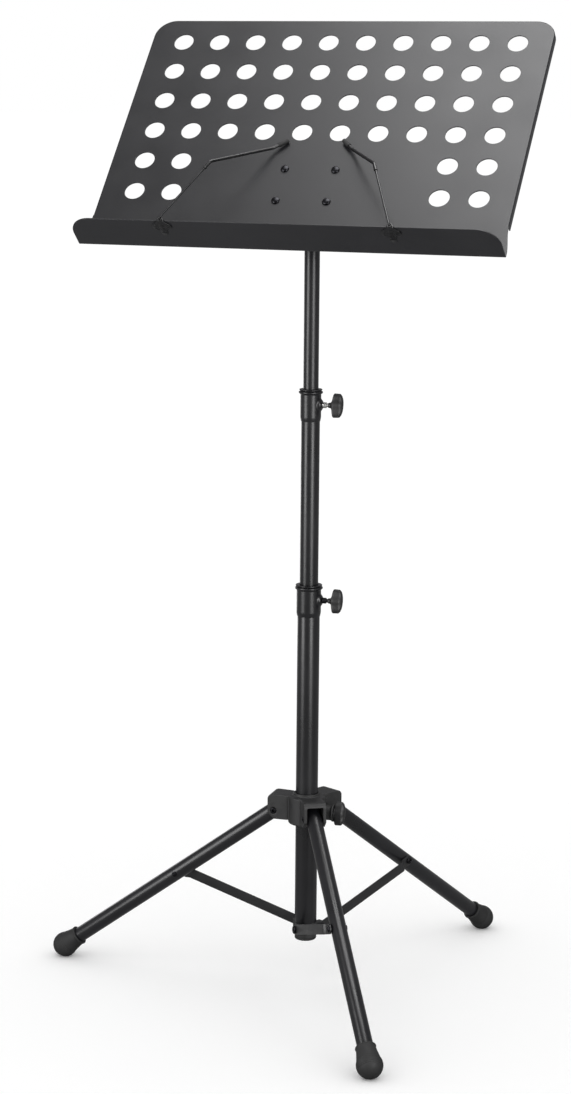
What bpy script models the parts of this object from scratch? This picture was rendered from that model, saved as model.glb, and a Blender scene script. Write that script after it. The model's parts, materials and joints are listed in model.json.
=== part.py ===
"""Folding music stand: a perforated steel desk with a shelf, on a three-section telescopic mast.

The mast is clamped in a sliding hub with three hinged tube legs, and three flat braces tie the
legs to a collar at the foot of the mast. World frame: +X along the desk, the desk faces -Y, +Z up,
the soles on z = 0. All lengths are in metres and all angles in radians.
"""

import math

import bmesh
import bpy
from mathutils import Matrix, Vector

MM = 0.001
GAP = 0.3 * MM  # clearance between pieces that touch or run in each other

# Desk: one steel sheet, bent forward at the foot into the shelf
DESK_WIDTH = 500 * MM
DESK_HEIGHT = 348 * MM  # underside of the shelf to the top edge
SHEET = 1.5 * MM
BEND_RADIUS = 2 * MM  # inside of the bend
DESK_CORNER = 25 * MM
RIM_DEPTH = 9 * MM
RIM_START = 43 * MM  # the folded rim ends this far above the shelf's underside
SHELF_FLARE = 5 * MM  # shelf beyond the desk, at each end
SHELF_DEPTH = 47.5 * MM  # face of the desk to the front edge
SHELF_CORNER = 27 * MM
DESK_LEAN = math.radians(41.8)  # back from upright

# Perforation: a square grid of round holes, only at both ends where the bracket is
HOLE_PITCH = 46.3 * MM
HOLE_DIAMETER = 24.2 * MM
HOLE_SIDE_MARGIN = 29 * MM
HOLE_TOP_MARGIN = 35.2 * MM
HOLE_FOOT_MARGIN = 75 * MM
HOLES_AT_ENDS = 2

# Tilt joint
PIVOT_TO_FACE = 35 * MM  # tilt axis to the face of the desk
PIVOT_TO_FOOT = 95 * MM  # tilt axis to the underside of the shelf, along the desk
BRACKET_SIZE = (84 * MM, 68 * MM)
BRACKET_THICKNESS = 2.5 * MM
EAR_THICKNESS = 3 * MM
EAR_RADIUS = 11 * MM
WASHER_THICKNESS = 1.4 * MM
WASHER_RADIUS = 9 * MM
HEAD_RADIUS = 11 * MM
SOCKET_WALL = 2 * MM
SOCKET_LENGTH = 24 * MM
PIVOT_ABOVE_TUBE = 16.8 * MM
SCREW_SPACING = (61.5 * MM, 46.7 * MM)
SCREW_RADIUS = 2.5 * MM
SCREW_HEAD_RADIUS = 5 * MM
SCREW_HEAD_HEIGHT = 2.8 * MM
SCREW_END = 5 * MM  # beyond the bracket
BOLT_RADIUS = 3 * MM
BOLT_HEAD_RADIUS = 6 * MM
BOLT_HEAD_HEIGHT = 4.5 * MM

# Mast: three tubes, each drawn some way out of the one below
UPPER_RADIUS = 9 * MM
UPPER_CLEARANCE = 0.8 * MM  # upper tube to the bore of the middle one
MIDDLE_CLEARANCE = 1.05 * MM  # middle tube to the bore of the lower one
TUBE_WALL = 1.2 * MM
UPPER_LENGTH = 385 * MM
MIDDLE_LENGTH = 410 * MM
LOWER_LENGTH = 410 * MM
UPPER_DRAWN = 203.4 * MM
MIDDLE_DRAWN = 233.1 * MM
GLIDE_FLANGE = 6 * MM
GLIDE_SPIGOT = 10 * MM
GLIDE_WALL = 2 * MM

# Clamp collars and the wing knobs that lock them
COLLAR_WALL = 1 * MM
COLLAR_LENGTH = 31.5 * MM  # below the tube's end
COLLAR_LIP = 6.5 * MM  # above the tube's end
COLLAR_RIM = 2 * MM
COLLAR_ROUND = 0.8 * MM  # corner of the rim
COLLAR_TAPER = 5 * MM  # thinned length at the lower end
CLAMP_DROP = 12 * MM  # tube's end to the clamp screw
BOSS_RADIUS = 6.5 * MM
BOSS_TIP_RADIUS = 4.4 * MM
BOSS_OUT = 2.2 * MM
BOSS_ROOT = 1.2 * MM  # full width of the boss, below the collar's surface
CLAMP_SCREW_RADIUS = 2.7 * MM
CLAMP_NUT_RADIUS = 3.6 * MM
CLAMP_NUT_LENGTH = 4.6 * MM
SCREW_POINT = 1 * MM  # length of the screw's turned-down point
SCREW_POINT_STEP = 0.6 * MM
NECK_RADIUS = 2.2 * MM
NECK_LENGTH = 2.4 * MM
KNOB_LENGTH = 18 * MM
KNOB_SPAN = 28.8 * MM  # across the wings
KNOB_WIDTH = 12 * MM
KNOB_BORE_DEPTH = 8 * MM
KNOB_TURN = math.radians(2.35)  # azimuth of the clamp screws
KNOB_TILT = math.radians(-14)  # the wings' turn about their screw

# Base
BASE_TURN = math.radians(2.35)  # the legs stand turned a little from the desk
LEG_AZIMUTHS = {"left": math.radians(180), "right": math.radians(60), "front": math.radians(-60)}
HUB_HEIGHT = 217 * MM  # leg pivots above the floor
HUB_WALL = 9.25 * MM  # barrel beyond the lower tube
HUB_TOP = 24.6 * MM  # above the pivots
HUB_BOTTOM = 15 * MM  # below the pivots
HEAD_CLEARANCE = 0.43 * MM  # a leg's turning head to the web behind it
CLEVIS_END = 8 * MM  # clevises beyond the leg pivots
CLEVIS_ROUND = 6 * MM
CLEVIS_DROP = 10.5 * MM
CHEEK = 4.2 * MM
CHEEK_GAP = 0.45 * MM  # each side of a leg
HUB_WEB = 0.7 * MM  # barrel's surface to the slots
HUB_BOSS_RADIUS = 10.5 * MM
HUB_BOSS_LENGTH = 4.5 * MM  # boss beyond the barrel
HUB_NECK = 3.2 * MM
LEG_RADIUS = 9.25 * MM
LEG_WALL = 1.2 * MM
LEG_HEAD = 11 * MM  # tube beyond its pivot
LEG_BOLT_RADIUS = 3.4 * MM
SOCKET_SIZE = 1.7 * MM
SOCKET_DEPTH = 2.5 * MM
FOOT_REACH = 314 * MM  # mast's axis to the centre of a foot
FOOT_HEIGHT = 14.5 * MM  # centre of a foot above the floor
FOOT_RADIUS = 15.5 * MM
FOOT_SHOULDER = math.radians(22)  # the ball's round starts this far above its waist
BOOT_WALL = 2 * MM
BOOT_BEAD = 0.6 * MM
BOOT_LENGTH = 24 * MM  # sleeve's rim to the foot's centre
TUBE_TO_FOOT = 9 * MM  # leg tube's end to the foot's centre

# Braces and the collar that ties them to the mast
MAST_CLEAR = 56.5 * MM  # underside of the plug above the floor
PLUG_HEIGHT = 3 * MM
PEG_RADIUS = 5 * MM
PEG_LENGTH = 6 * MM
COLLAR_HEIGHT = 18.4 * MM
COLLAR_SPIGOT = 18 * MM
BRACE_PIVOT_INSET = 1.25 * MM  # brace pivots inside the lower tube's surface
BRACE_PIVOT_HEIGHT = 72 * MM
BRACE_ON_LEG = 158.3 * MM  # along the leg, from its pivot
BRACE_WIDTH = 12 * MM
BRACE_THICKNESS = 2 * MM
BRACE_PROUD = 0.5 * MM  # a brace's inner face outside the lower tube's surface
TAB_GAP = 0.5 * MM  # tab to the leg's side
TAB_LENGTH = 9 * MM  # flat tab, from its rivet towards the mast
JOGGLE_LENGTH = 6 * MM
EAR_DEPTH = 8 * MM
EAR_BELOW_PIVOT = 6.4 * MM
RIVET_RADIUS = 2.4 * MM
RIVET_HEAD_RADIUS = 5 * MM
RIVET_HEAD_HEIGHT = 3.2 * MM
PIN_HEAD_RADIUS = 3.4 * MM
PIN_HEAD_HEIGHT = 0.8 * MM

# Page-holder arms, clipped to the shelf's front edge
# side: place along the shelf, slope of the wire, and how much flatter its rod lies
ARMS = {
    "left": (-139.5 * MM, math.radians(64), math.radians(13)),
    "right": (132.5 * MM, math.radians(67), math.radians(17.5)),
}
CLIP_WIDTH = 24 * MM
CLIP_DEPTH = 26 * MM
CLIP_SHEET = 1 * MM
CLIP_TONGUE = 9 * MM  # width of the tongue that holds the wire
CLIP_GRIP = 12 * MM  # length of the upper leaf
EYE_RADIUS = 3.2 * MM
EYE_LENGTH = 1.2 * MM
WIRE_RADIUS = 1.25 * MM
WIRE_BEND = 1.9 * MM
WIRE_LENGTH = 93 * MM
WIRE_IN_ROD = 9 * MM
ROD_RADIUS = 1.9 * MM
ROD_LEG = 11 * MM  # straight leg below the elbow
ROD_BEND = 6 * MM
ROD_REACH = 77 * MM  # elbow to the toe bend, across the desk's face
TOE_LENGTH = 20 * MM
TOE_KINK = math.radians(20)
TOE_STANDOFF = 6 * MM  # toe bend from the face
TIP_RADIUS = 2.7 * MM
TIP_LENGTH = 14 * MM
TIP_COVER = 1.4 * MM  # rubber beyond the rod's end
TIP_ROUND = 0.8 * MM
TIP_STANDOFF = 3.2 * MM

ROUND = 20
HOLE_SIDES = 12
SMALL_ROUND = 12
WIRE_SIDES = 8

# Sizes and heights worked out from the ones above
SHELF_WIDTH = DESK_WIDTH + 2 * SHELF_FLARE
MIDDLE_RADIUS = UPPER_RADIUS + UPPER_CLEARANCE + TUBE_WALL
LOWER_RADIUS = MIDDLE_RADIUS + MIDDLE_CLEARANCE + TUBE_WALL
HUB_RADIUS = LOWER_RADIUS + HUB_WALL
WEB_OUT = HUB_RADIUS + HUB_WEB
HUB_BOSS_OUT = HUB_RADIUS + HUB_BOSS_LENGTH
LEG_HEAD_SWEEP = math.hypot(LEG_HEAD, LEG_RADIUS)
LEG_PIVOT_OUT = WEB_OUT + LEG_HEAD_SWEEP + HEAD_CLEARANCE
CLEVIS_OUT = LEG_PIVOT_OUT + CLEVIS_END
BRACE_PIVOT_OUT = LOWER_RADIUS - BRACE_PIVOT_INSET
BRACE_PLANE = LOWER_RADIUS + BRACE_PROUD
EAR_REACH = BRACE_PIVOT_OUT + BRACE_WIDTH / 2
LOWER_TOP = MAST_CLEAR + PLUG_HEIGHT + 2 * GAP + COLLAR_HEIGHT + LOWER_LENGTH
MIDDLE_TOP = LOWER_TOP + MIDDLE_DRAWN
UPPER_TOP = MIDDLE_TOP + UPPER_DRAWN
TILT_HEIGHT = UPPER_TOP + PIVOT_ABOVE_TUBE
HEAD_HALF_WIDTH = UPPER_RADIUS + SOCKET_WALL + 2 * GAP
LEG_ANGLE = math.atan2(FOOT_REACH - LEG_PIVOT_OUT, HUB_HEIGHT - FOOT_HEIGHT)
LEG_LENGTH = math.hypot(FOOT_REACH - LEG_PIVOT_OUT, HUB_HEIGHT - FOOT_HEIGHT)
FACE = -PIVOT_TO_FACE
FOOT_OF_DESK = -PIVOT_TO_FOOT
TOP_OF_DESK = FOOT_OF_DESK + DESK_HEIGHT
SHELF_FRONT = FACE - SHELF_DEPTH


def brace_geometry():
    """Length of a brace between its pivots, and its angle from upright at rest."""
    out = LEG_PIVOT_OUT + BRACE_ON_LEG * math.sin(LEG_ANGLE) - BRACE_PIVOT_OUT
    up = HUB_HEIGHT - BRACE_ON_LEG * math.cos(LEG_ANGLE) - BRACE_PIVOT_HEIGHT
    return math.hypot(out, up), math.atan2(out, up)


BRACE_LENGTH, BRACE_ANGLE = brace_geometry()


def clear_scene():
    for obj in list(bpy.data.objects):
        bpy.data.objects.remove(obj)


def srgb(hex_colour):
    """Linear RGBA from an sRGB hex colour."""
    parts = [int(hex_colour[i : i + 2], 16) / 255 for i in (0, 2, 4)]
    return [p / 12.92 if p <= 0.04045 else ((p + 0.055) / 1.055) ** 2.4 for p in parts] + [1]


def material(name, hex_colour, roughness, metallic):
    mat = bpy.data.materials.get(name)
    if mat is None:
        mat = bpy.data.materials.new(name)
        mat.use_nodes = True
        shader = mat.node_tree.nodes["Principled BSDF"]
        shader.inputs["Base Color"].default_value = srgb(hex_colour)
        shader.inputs["Roughness"].default_value = roughness
        shader.inputs["Metallic"].default_value = metallic
        mat.diffuse_color = srgb(hex_colour)
    return mat


def desk_coat():
    return material("desk_powder_coat", "3a393c", 0.42, 0)


def tube_coat():
    return material("tube_lacquer", "2b2a2d", 0.3, 0)


def brace_coat():
    return material("brace_lacquer", "39383a", 0.45, 0)


def moulded_plastic():
    return material("moulded_plastic", "343436", 0.62, 0)


def knob_plastic():
    return material("knob_plastic", "2f2f31", 0.55, 0)


def black_rubber():
    return material("black_rubber", "1d1d1f", 0.75, 0)


def black_steel():
    return material("blacked_steel", "1f1f21", 0.35, 1)


def bright_steel():
    return material("bright_steel", "b9b9b6", 0.3, 1)


def spring_wire():
    return material("lacquered_wire", "242426", 0.35, 0)


def empty(name, parent, location=(0, 0, 0), rotation=(0, 0, 0)):
    obj = bpy.data.objects.new(name, None)
    bpy.context.scene.collection.objects.link(obj)
    obj.empty_display_size = 20 * MM
    obj.parent = parent
    obj.location = location
    obj.rotation_euler = rotation
    return obj


def place(obj, parent, location=(0, 0, 0), rotation=(0, 0, 0)):
    obj.parent = parent
    obj.location = location
    obj.rotation_euler = rotation
    return obj


def solid(name, bm, mat=None, smooth=True):
    """An object from a closed bmesh, faces turned out."""
    bmesh.ops.remove_doubles(bm, verts=bm.verts, dist=1e-6)
    bmesh.ops.recalc_face_normals(bm, faces=bm.faces)
    mesh = bpy.data.meshes.new(name)
    bm.to_mesh(mesh)
    bm.free()
    if mat:
        mesh.materials.append(mat)
    if smooth:
        mesh.shade_smooth()
        mesh.set_sharp_from_angle(angle=math.radians(32))
    obj = bpy.data.objects.new(name, mesh)
    bpy.context.scene.collection.objects.link(obj)
    return obj


def arc(centre, radius, start, end, steps):
    """Points on an arc in a plane, both ends included."""
    angles = [start + (end - start) * i / steps for i in range(steps + 1)]
    return [(centre[0] + radius * math.cos(a), centre[1] + radius * math.sin(a)) for a in angles]


def turned(profile, steps=ROUND):
    """A bmesh turned about Z from (radius, height) points; the profile closes itself or ends on the axis."""
    bm = bmesh.new()
    verts = [bm.verts.new((r, 0, z)) for r, z in profile]
    edges = [bm.edges.new(pair) for pair in zip(verts, verts[1:])]
    if profile[0][0] > 0:
        edges.append(bm.edges.new((verts[-1], verts[0])))
    bmesh.ops.spin(
        bm, geom=verts + edges, cent=(0, 0, 0), axis=(0, 0, 1), angle=math.tau, steps=steps,
        use_merge=True,
    )
    return bm


def ring(inner, outer, low, high, steps=ROUND):
    """A bmesh of a plain tube about Z."""
    return turned([(inner, high), (outer, high), (outer, low), (inner, low)], steps)


def rod(radius, low, high, steps=ROUND):
    """A bmesh of a plain cylinder about Z."""
    return turned([(0, high), (radius, high), (radius, low), (0, low)], steps)


def prism(outline, low, high):
    """A bmesh of an outline in X and Y, extruded along Z."""
    bm = bmesh.new()
    face = bm.faces.new([bm.verts.new((x, y, low)) for x, y in outline])
    grown = bmesh.ops.extrude_face_region(bm, geom=[face])
    top = [v for v in grown["geom"] if isinstance(v, bmesh.types.BMVert)]
    bmesh.ops.translate(bm, verts=top, vec=(0, 0, high - low))
    return bm


def swept(points, radius, sides=WIRE_SIDES):
    """A bmesh of a round bar along a path, with flat ends."""
    bm = bmesh.new()
    path = [Vector(p) for p in points]
    side = (path[1] - path[0]).orthogonal().normalized()
    rings = []
    for i, point in enumerate(path):
        ahead = (path[min(i + 1, len(path) - 1)] - point).normalized()
        behind = (point - path[max(i - 1, 0)]).normalized()
        along = (ahead + behind).normalized()
        side = (side - along * side.dot(along)).normalized()
        across = along.cross(side)
        angles = [math.tau * k / sides for k in range(sides)]
        offsets = [radius * (side * math.cos(a) + across * math.sin(a)) for a in angles]
        rings.append([bm.verts.new(point + offset) for offset in offsets])
    for low, high in zip(rings, rings[1:]):
        for k in range(sides):
            n = (k + 1) % sides
            bm.faces.new((low[k], low[n], high[n], high[k]))
    bm.faces.new(rings[0])
    bm.faces.new(rings[-1])
    return bm


def rounded_path(points, radius, steps=5):
    """The path through the points, with each inner corner turned on an arc."""
    path = [Vector(points[0])]
    for before, corner, after in zip(points, points[1:], points[2:]):
        corner = Vector(corner)
        back = (Vector(before) - corner).normalized()
        on = (Vector(after) - corner).normalized()
        half = back.angle(on) / 2
        centre = corner + (back + on).normalized() * (radius / math.sin(half))
        start = corner + back * (radius / math.tan(half)) - centre
        end = corner + on * (radius / math.tan(half)) - centre
        path += [centre + radius * start.lerp(end, i / steps).normalized() for i in range(steps + 1)]
    return path + [Vector(points[-1])]


def boolean(obj, cutter, operation="DIFFERENCE"):
    modifier = obj.modifiers.new(cutter.name, "BOOLEAN")
    modifier.object = cutter
    modifier.operation = operation
    modifier.solver = "EXACT"
    cutter.hide_render = True
    cutter.display_type = "WIRE"


def helper(name, bm, parent, location=(0, 0, 0), rotation=(0, 0, 0)):
    """A cutter or an added shape, hidden in renders."""
    return place(solid(name, bm), parent, location, rotation)


ALONG_X = (0, math.pi / 2, 0)  # turns a shape made about Z to lie along +X
ALONG_Y = (-math.pi / 2, 0, 0)  # turns it to lie along +Y


def desk_outline():
    """The flat blank of the desk in x and distance along the sheet, 0 at the start of the bend."""
    half = DESK_WIDTH / 2
    wide = SHELF_WIDTH / 2
    bend = bend_length()
    top = DESK_HEIGHT - SHEET - BEND_RADIUS
    front = -bend - (SHELF_DEPTH - BEND_RADIUS)
    flare = RIM_START - SHEET - BEND_RADIUS
    right = [(wide, -bend)]
    right += [(wide + (half - wide) * t, flare * t) for t in (0.25, 0.6, 1)]
    right += arc((half - DESK_CORNER, top - DESK_CORNER), DESK_CORNER, 0, math.pi / 2, 6)
    shelf = arc((wide - SHELF_CORNER, front + SHELF_CORNER), SHELF_CORNER, 0, -math.pi / 2, 6)
    side = shelf[::-1] + right
    return side + [(-x, y) for x, y in reversed(side)]


def bend_length():
    """Sheet taken up by the quarter bend, along the face."""
    return math.pi / 2 * (BEND_RADIUS + SHEET / 2)


def hole_centres():
    """Centres of the holes, as x and height in the desk's frame."""
    columns = int((DESK_WIDTH - 2 * HOLE_SIDE_MARGIN) / HOLE_PITCH) + 1
    rows = int((DESK_HEIGHT - HOLE_TOP_MARGIN - HOLE_FOOT_MARGIN) / HOLE_PITCH) + 1
    bare = BRACKET_SIZE[1] / 2 + HOLE_DIAMETER / 2
    centres = []
    for j in range(rows):
        z = TOP_OF_DESK - HOLE_TOP_MARGIN - j * HOLE_PITCH
        for i in range(columns):
            at_end = min(i, columns - 1 - i) < HOLES_AT_ENDS
            if z > bare or at_end:
                centres.append(((i - (columns - 1) / 2) * HOLE_PITCH, z))
    return centres


def screw_places():
    """Centres of the four desk screws, as x and height in the desk's frame."""
    across, up = SCREW_SPACING
    return [(sx * across / 2, sz * up / 2) for sz in (1, -1) for sx in (-1, 1)]


def circle(centre, radius, sides):
    angles = [math.tau * (k + 0.5) / sides for k in range(sides)]
    return [(centre[0] + radius * math.cos(a), centre[1] + radius * math.sin(a)) for a in angles]


def fold_sheet(bm):
    """Maps the flat blank (x, thickness, distance along the sheet) into the bent desk."""
    bend = bend_length()
    start = FOOT_OF_DESK + SHEET + BEND_RADIUS
    for v in bm.verts:
        x, thick, along = v.co
        if along >= 0:
            v.co = (x, FACE + thick, start + along)
            continue
        turn = min(-along / bend, 1) * math.pi / 2
        beyond = max(-along - bend, 0)
        radius = BEND_RADIUS + thick
        y = FACE - BEND_RADIUS + radius * math.cos(turn) - beyond
        v.co = (x, y, start - radius * math.sin(turn))


def desk_panel(parent):
    """The sheet is cut flat with its holes, given its thickness, and folded at the shelf."""
    start = FOOT_OF_DESK + SHEET + BEND_RADIUS
    bm = bmesh.new()
    loops = [desk_outline()]
    loops += [circle((x, z - start), HOLE_DIAMETER / 2, HOLE_SIDES) for x, z in hole_centres()]
    loops += [circle((x, z - start), SCREW_RADIUS + GAP, 8) for x, z in screw_places()]
    for loop in loops:
        verts = [bm.verts.new((x, 0, s)) for x, s in loop]
        for pair in zip(verts, verts[1:] + verts[:1]):
            bm.edges.new(pair)
    bmesh.ops.triangle_fill(bm, edges=bm.edges, use_beauty=True, normal=(0, -1, 0))
    grown = bmesh.ops.extrude_face_region(bm, geom=bm.faces[:])
    back = [v for v in grown["geom"] if isinstance(v, bmesh.types.BMVert)]
    bmesh.ops.translate(bm, verts=back, vec=(0, SHEET, 0))
    for i in range(5):
        cut = -bend_length() * i / 4
        geom = bm.verts[:] + bm.edges[:] + bm.faces[:]
        bmesh.ops.bisect_plane(bm, geom=geom, plane_co=(0, 0, cut), plane_no=(0, 0, 1), dist=1e-6)
    fold_sheet(bm)
    bmesh.ops.triangulate(bm, faces=bm.faces)
    desk = place(solid("desk_panel", bm, desk_coat(), smooth=False), parent)
    boolean(desk, helper("rim_shape", rim_shape(), parent), "UNION")
    return desk


def rim_shape():
    """The folded rim: a thin wall behind the desk's sides and top."""
    inset = 0.04 * MM  # keeps the wall's faces off the sheet's own
    bm = bmesh.new()
    low = FOOT_OF_DESK + RIM_START

    def side(offset):
        half = DESK_WIDTH / 2 - offset
        corner = DESK_CORNER - offset
        top = TOP_OF_DESK - offset
        points = [(half, low)]
        points += arc((half - corner, top - corner), corner, 0, math.pi / 2, 6)
        return points + [(-x, z) for x, z in reversed(points)]

    outline = side(inset) + side(SHEET)[::-1]
    face = bm.faces.new([bm.verts.new((x, FACE + SHEET / 2, z)) for x, z in outline])
    grown = bmesh.ops.extrude_face_region(bm, geom=[face])
    back = [v for v in grown["geom"] if isinstance(v, bmesh.types.BMVert)]
    bmesh.ops.translate(bm, verts=back, vec=(0, RIM_DEPTH - SHEET / 2, 0))
    bmesh.ops.triangulate(bm, faces=bm.faces)
    return bm


def rounded_rectangle(width, height, radius, steps=4):
    x = width / 2 - radius
    y = height / 2 - radius
    corners = [(x, y, 0), (-x, y, 1), (-x, -y, 2), (x, -y, 3)]
    points = []
    for cx, cy, quarter in corners:
        start = quarter * math.pi / 2
        points += arc((cx, cy), radius, start, start + math.pi / 2, steps)
    return points


def tilt_bracket(parent):
    """Steel plate behind the desk with two ears that hold the tilt bolt."""
    front = FACE + SHEET + GAP
    back = front + BRACKET_THICKNESS
    plate = prism(rounded_rectangle(*BRACKET_SIZE, 6 * MM), -back, -front)
    bracket = place(solid("tilt_bracket", plate, brace_coat()), parent, rotation=(math.pi / 2, 0, 0))
    inside = HEAD_HALF_WIDTH + WASHER_THICKNESS + 2 * GAP
    root = front + BRACKET_THICKNESS / 2
    outline = arc((0, 0), EAR_RADIUS, -math.pi / 2, math.pi / 2, 8)
    outline += [(root, EAR_RADIUS + 4 * MM), (root, -EAR_RADIUS - 4 * MM)]
    for side, low in (("left", -inside - EAR_THICKNESS), ("right", inside)):
        ear = prism(outline, low, low + EAR_THICKNESS)
        turn = Matrix.Rotation(math.pi / 2, 3, "Z") @ Matrix.Rotation(math.pi / 2, 3, "X")
        bmesh.ops.rotate(ear, cent=(0, 0, 0), matrix=turn, verts=ear.verts)
        boolean(bracket, helper("ear_" + side, ear, parent), "UNION")
    reach = inside + EAR_THICKNESS + 1 * MM
    bore = rod(BOLT_RADIUS + GAP, -reach, reach, SMALL_ROUND)
    boolean(bracket, helper("ear_bore", bore, parent, rotation=ALONG_X))
    for i, (x, z) in enumerate(screw_places()):
        hole = rod(SCREW_RADIUS + GAP, front - 1 * MM, back + 1 * MM, SMALL_ROUND)
        boolean(bracket, helper(f"bracket_hole_{i}", hole, parent, (x, 0, z), ALONG_Y))
    return bracket


def dome(radius, height, steps=3):
    """Profile points of a domed head above z = 0, from its crown to its edge."""
    points = []
    for i in range(steps + 1):
        a = math.pi / 2 * (1 - i / steps)
        points.append((radius * math.cos(a), height * (0.35 + 0.65 * math.sin(a))))
    points[0] = (0, height)
    return points + [(radius, 0)]


def desk_screws(parent):
    """Four round-headed screws through the desk into the bracket."""
    length = SHEET + 2 * GAP + BRACKET_THICKNESS + SCREW_END
    profile = dome(SCREW_HEAD_RADIUS, SCREW_HEAD_HEIGHT)
    profile += [(SCREW_RADIUS, 0), (SCREW_RADIUS, -length), (0, -length)]
    for i, (x, z) in enumerate(screw_places()):
        screw = solid(f"desk_screw_{i + 1}", turned(profile, SMALL_ROUND), black_steel())
        place(screw, parent, (x, FACE - GAP, z), (math.pi / 2, 0, 0))


def tilt_head(parent):
    """Head on the upper tube: a socket over the tube's end and a cross barrel for the tilt bolt."""
    outer = UPPER_RADIUS + GAP + SOCKET_WALL
    roof = UPPER_TOP + GAP - TILT_HEIGHT
    low = UPPER_TOP - SOCKET_LENGTH - TILT_HEIGHT
    profile = [(0, -SOCKET_WALL), (outer, -SOCKET_WALL), (outer, low)]
    profile += [(UPPER_RADIUS + GAP, low), (UPPER_RADIUS + GAP, roof), (0, roof)]
    head = place(solid("tilt_head", turned(profile), moulded_plastic()), parent)
    barrel = rod(HEAD_RADIUS, -HEAD_HALF_WIDTH, HEAD_HALF_WIDTH)
    boolean(head, helper("head_barrel", barrel, parent, rotation=ALONG_X), "UNION")
    bore = rod(BOLT_RADIUS + GAP, -HEAD_HALF_WIDTH - 2 * MM, HEAD_HALF_WIDTH + 2 * MM, SMALL_ROUND)
    boolean(head, helper("head_bore", bore, parent, rotation=ALONG_X))


def hexagon(across_flats):
    radius = across_flats / math.sqrt(3)
    return [(radius * math.cos(math.tau * k / 6), radius * math.sin(math.tau * k / 6)) for k in range(6)]


def tilt_fasteners(desk_frame, knob_frame):
    """Washers beside the head, the tilt bolt through both ears, and its wing knob."""
    near = HEAD_HALF_WIDTH + GAP
    ear_face = HEAD_HALF_WIDTH + WASHER_THICKNESS + 2 * GAP + EAR_THICKNESS
    for side, low in (("left", -near - WASHER_THICKNESS), ("right", near)):
        washer = ring(BOLT_RADIUS + GAP, WASHER_RADIUS, low, low + WASHER_THICKNESS, 16)
        place(solid("tilt_washer_" + side, washer, black_rubber()), desk_frame, rotation=ALONG_X)
    seat = ear_face + GAP
    knob_at = seat + NECK_LENGTH
    profile = [(0, knob_at + KNOB_BORE_DEPTH - GAP), (NECK_RADIUS, knob_at + KNOB_BORE_DEPTH - GAP)]
    profile += [(NECK_RADIUS, seat), (BOLT_RADIUS, seat), (BOLT_RADIUS, -seat), (0, -seat)]
    bolt = solid("tilt_bolt", turned(profile, SMALL_ROUND), bright_steel())
    place(bolt, desk_frame, rotation=ALONG_X)
    head = prism(hexagon(2 * BOLT_HEAD_RADIUS), -seat - BOLT_HEAD_HEIGHT, -seat + GAP / 10)
    boolean(bolt, helper("bolt_head", head, desk_frame, rotation=ALONG_X), "UNION")
    wing_knob("tilt_knob", knob_frame, knob_at)


def wing_knob(name, parent, start):
    """Oval wing knob along +X: a round boss that swells into two wings with a domed face."""
    bore = NECK_RADIUS + GAP
    half = KNOB_SPAN / 2
    width = KNOB_WIDTH / 2
    shape = [(start + KNOB_BORE_DEPTH, bore, bore), (start, bore, bore)]
    sections = [(0, 0.22, 0.5), (0.22, 0.42, 0.8), (0.34, 0.95, 0.97), (0.4, 1, 1)]
    sections += [(0.74, 0.98, 1), (0.9, 0.74, 0.8), (1, 0.3, 0.35)]
    shape += [(start + KNOB_LENGTH * t, half * a, width * b) for t, a, b in sections]
    bm = bmesh.new()
    sides = 16
    rings = []
    for x, tall, wide in shape:
        angles = [math.tau * k / sides for k in range(sides)]
        rings.append([bm.verts.new((x, wide * math.cos(a), tall * math.sin(a))) for a in angles])
    for low, high in zip(rings, rings[1:]):
        for k in range(sides):
            n = (k + 1) % sides
            bm.faces.new((low[k], low[n], high[n], high[k]))
    bm.faces.new(rings[0])
    bm.faces.new(rings[-1])
    return place(solid(name, bm, knob_plastic()), parent)


def mast_tube(name, parent, radius, top, length, screw_height=None):
    tube = solid(name, ring(radius - TUBE_WALL, radius, top - length, top), tube_coat())
    place(tube, parent)
    if screw_height is not None:
        hole = rod(CLAMP_SCREW_RADIUS + GAP, 0, radius + 5 * MM, SMALL_ROUND)
        boolean(tube, helper(name + "_hole", hole, parent, (0, 0, screw_height), (0, math.pi / 2, KNOB_TURN)))
    return tube


def glide(name, parent, tube_radius, outer_bore, end):
    """Plastic glide at the lower end of a tube, which guides it in the tube around it."""
    spigot = tube_radius - TUBE_WALL - GAP
    flange = outer_bore - GAP
    low = end - GAP - GLIDE_FLANGE
    profile = [(spigot - GLIDE_WALL, end + GLIDE_SPIGOT), (spigot, end + GLIDE_SPIGOT), (spigot, end - GAP)]
    profile += [(flange, end - GAP), (flange, low), (spigot - GLIDE_WALL, low)]
    return place(solid(name, turned(profile), moulded_plastic()), parent)


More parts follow.
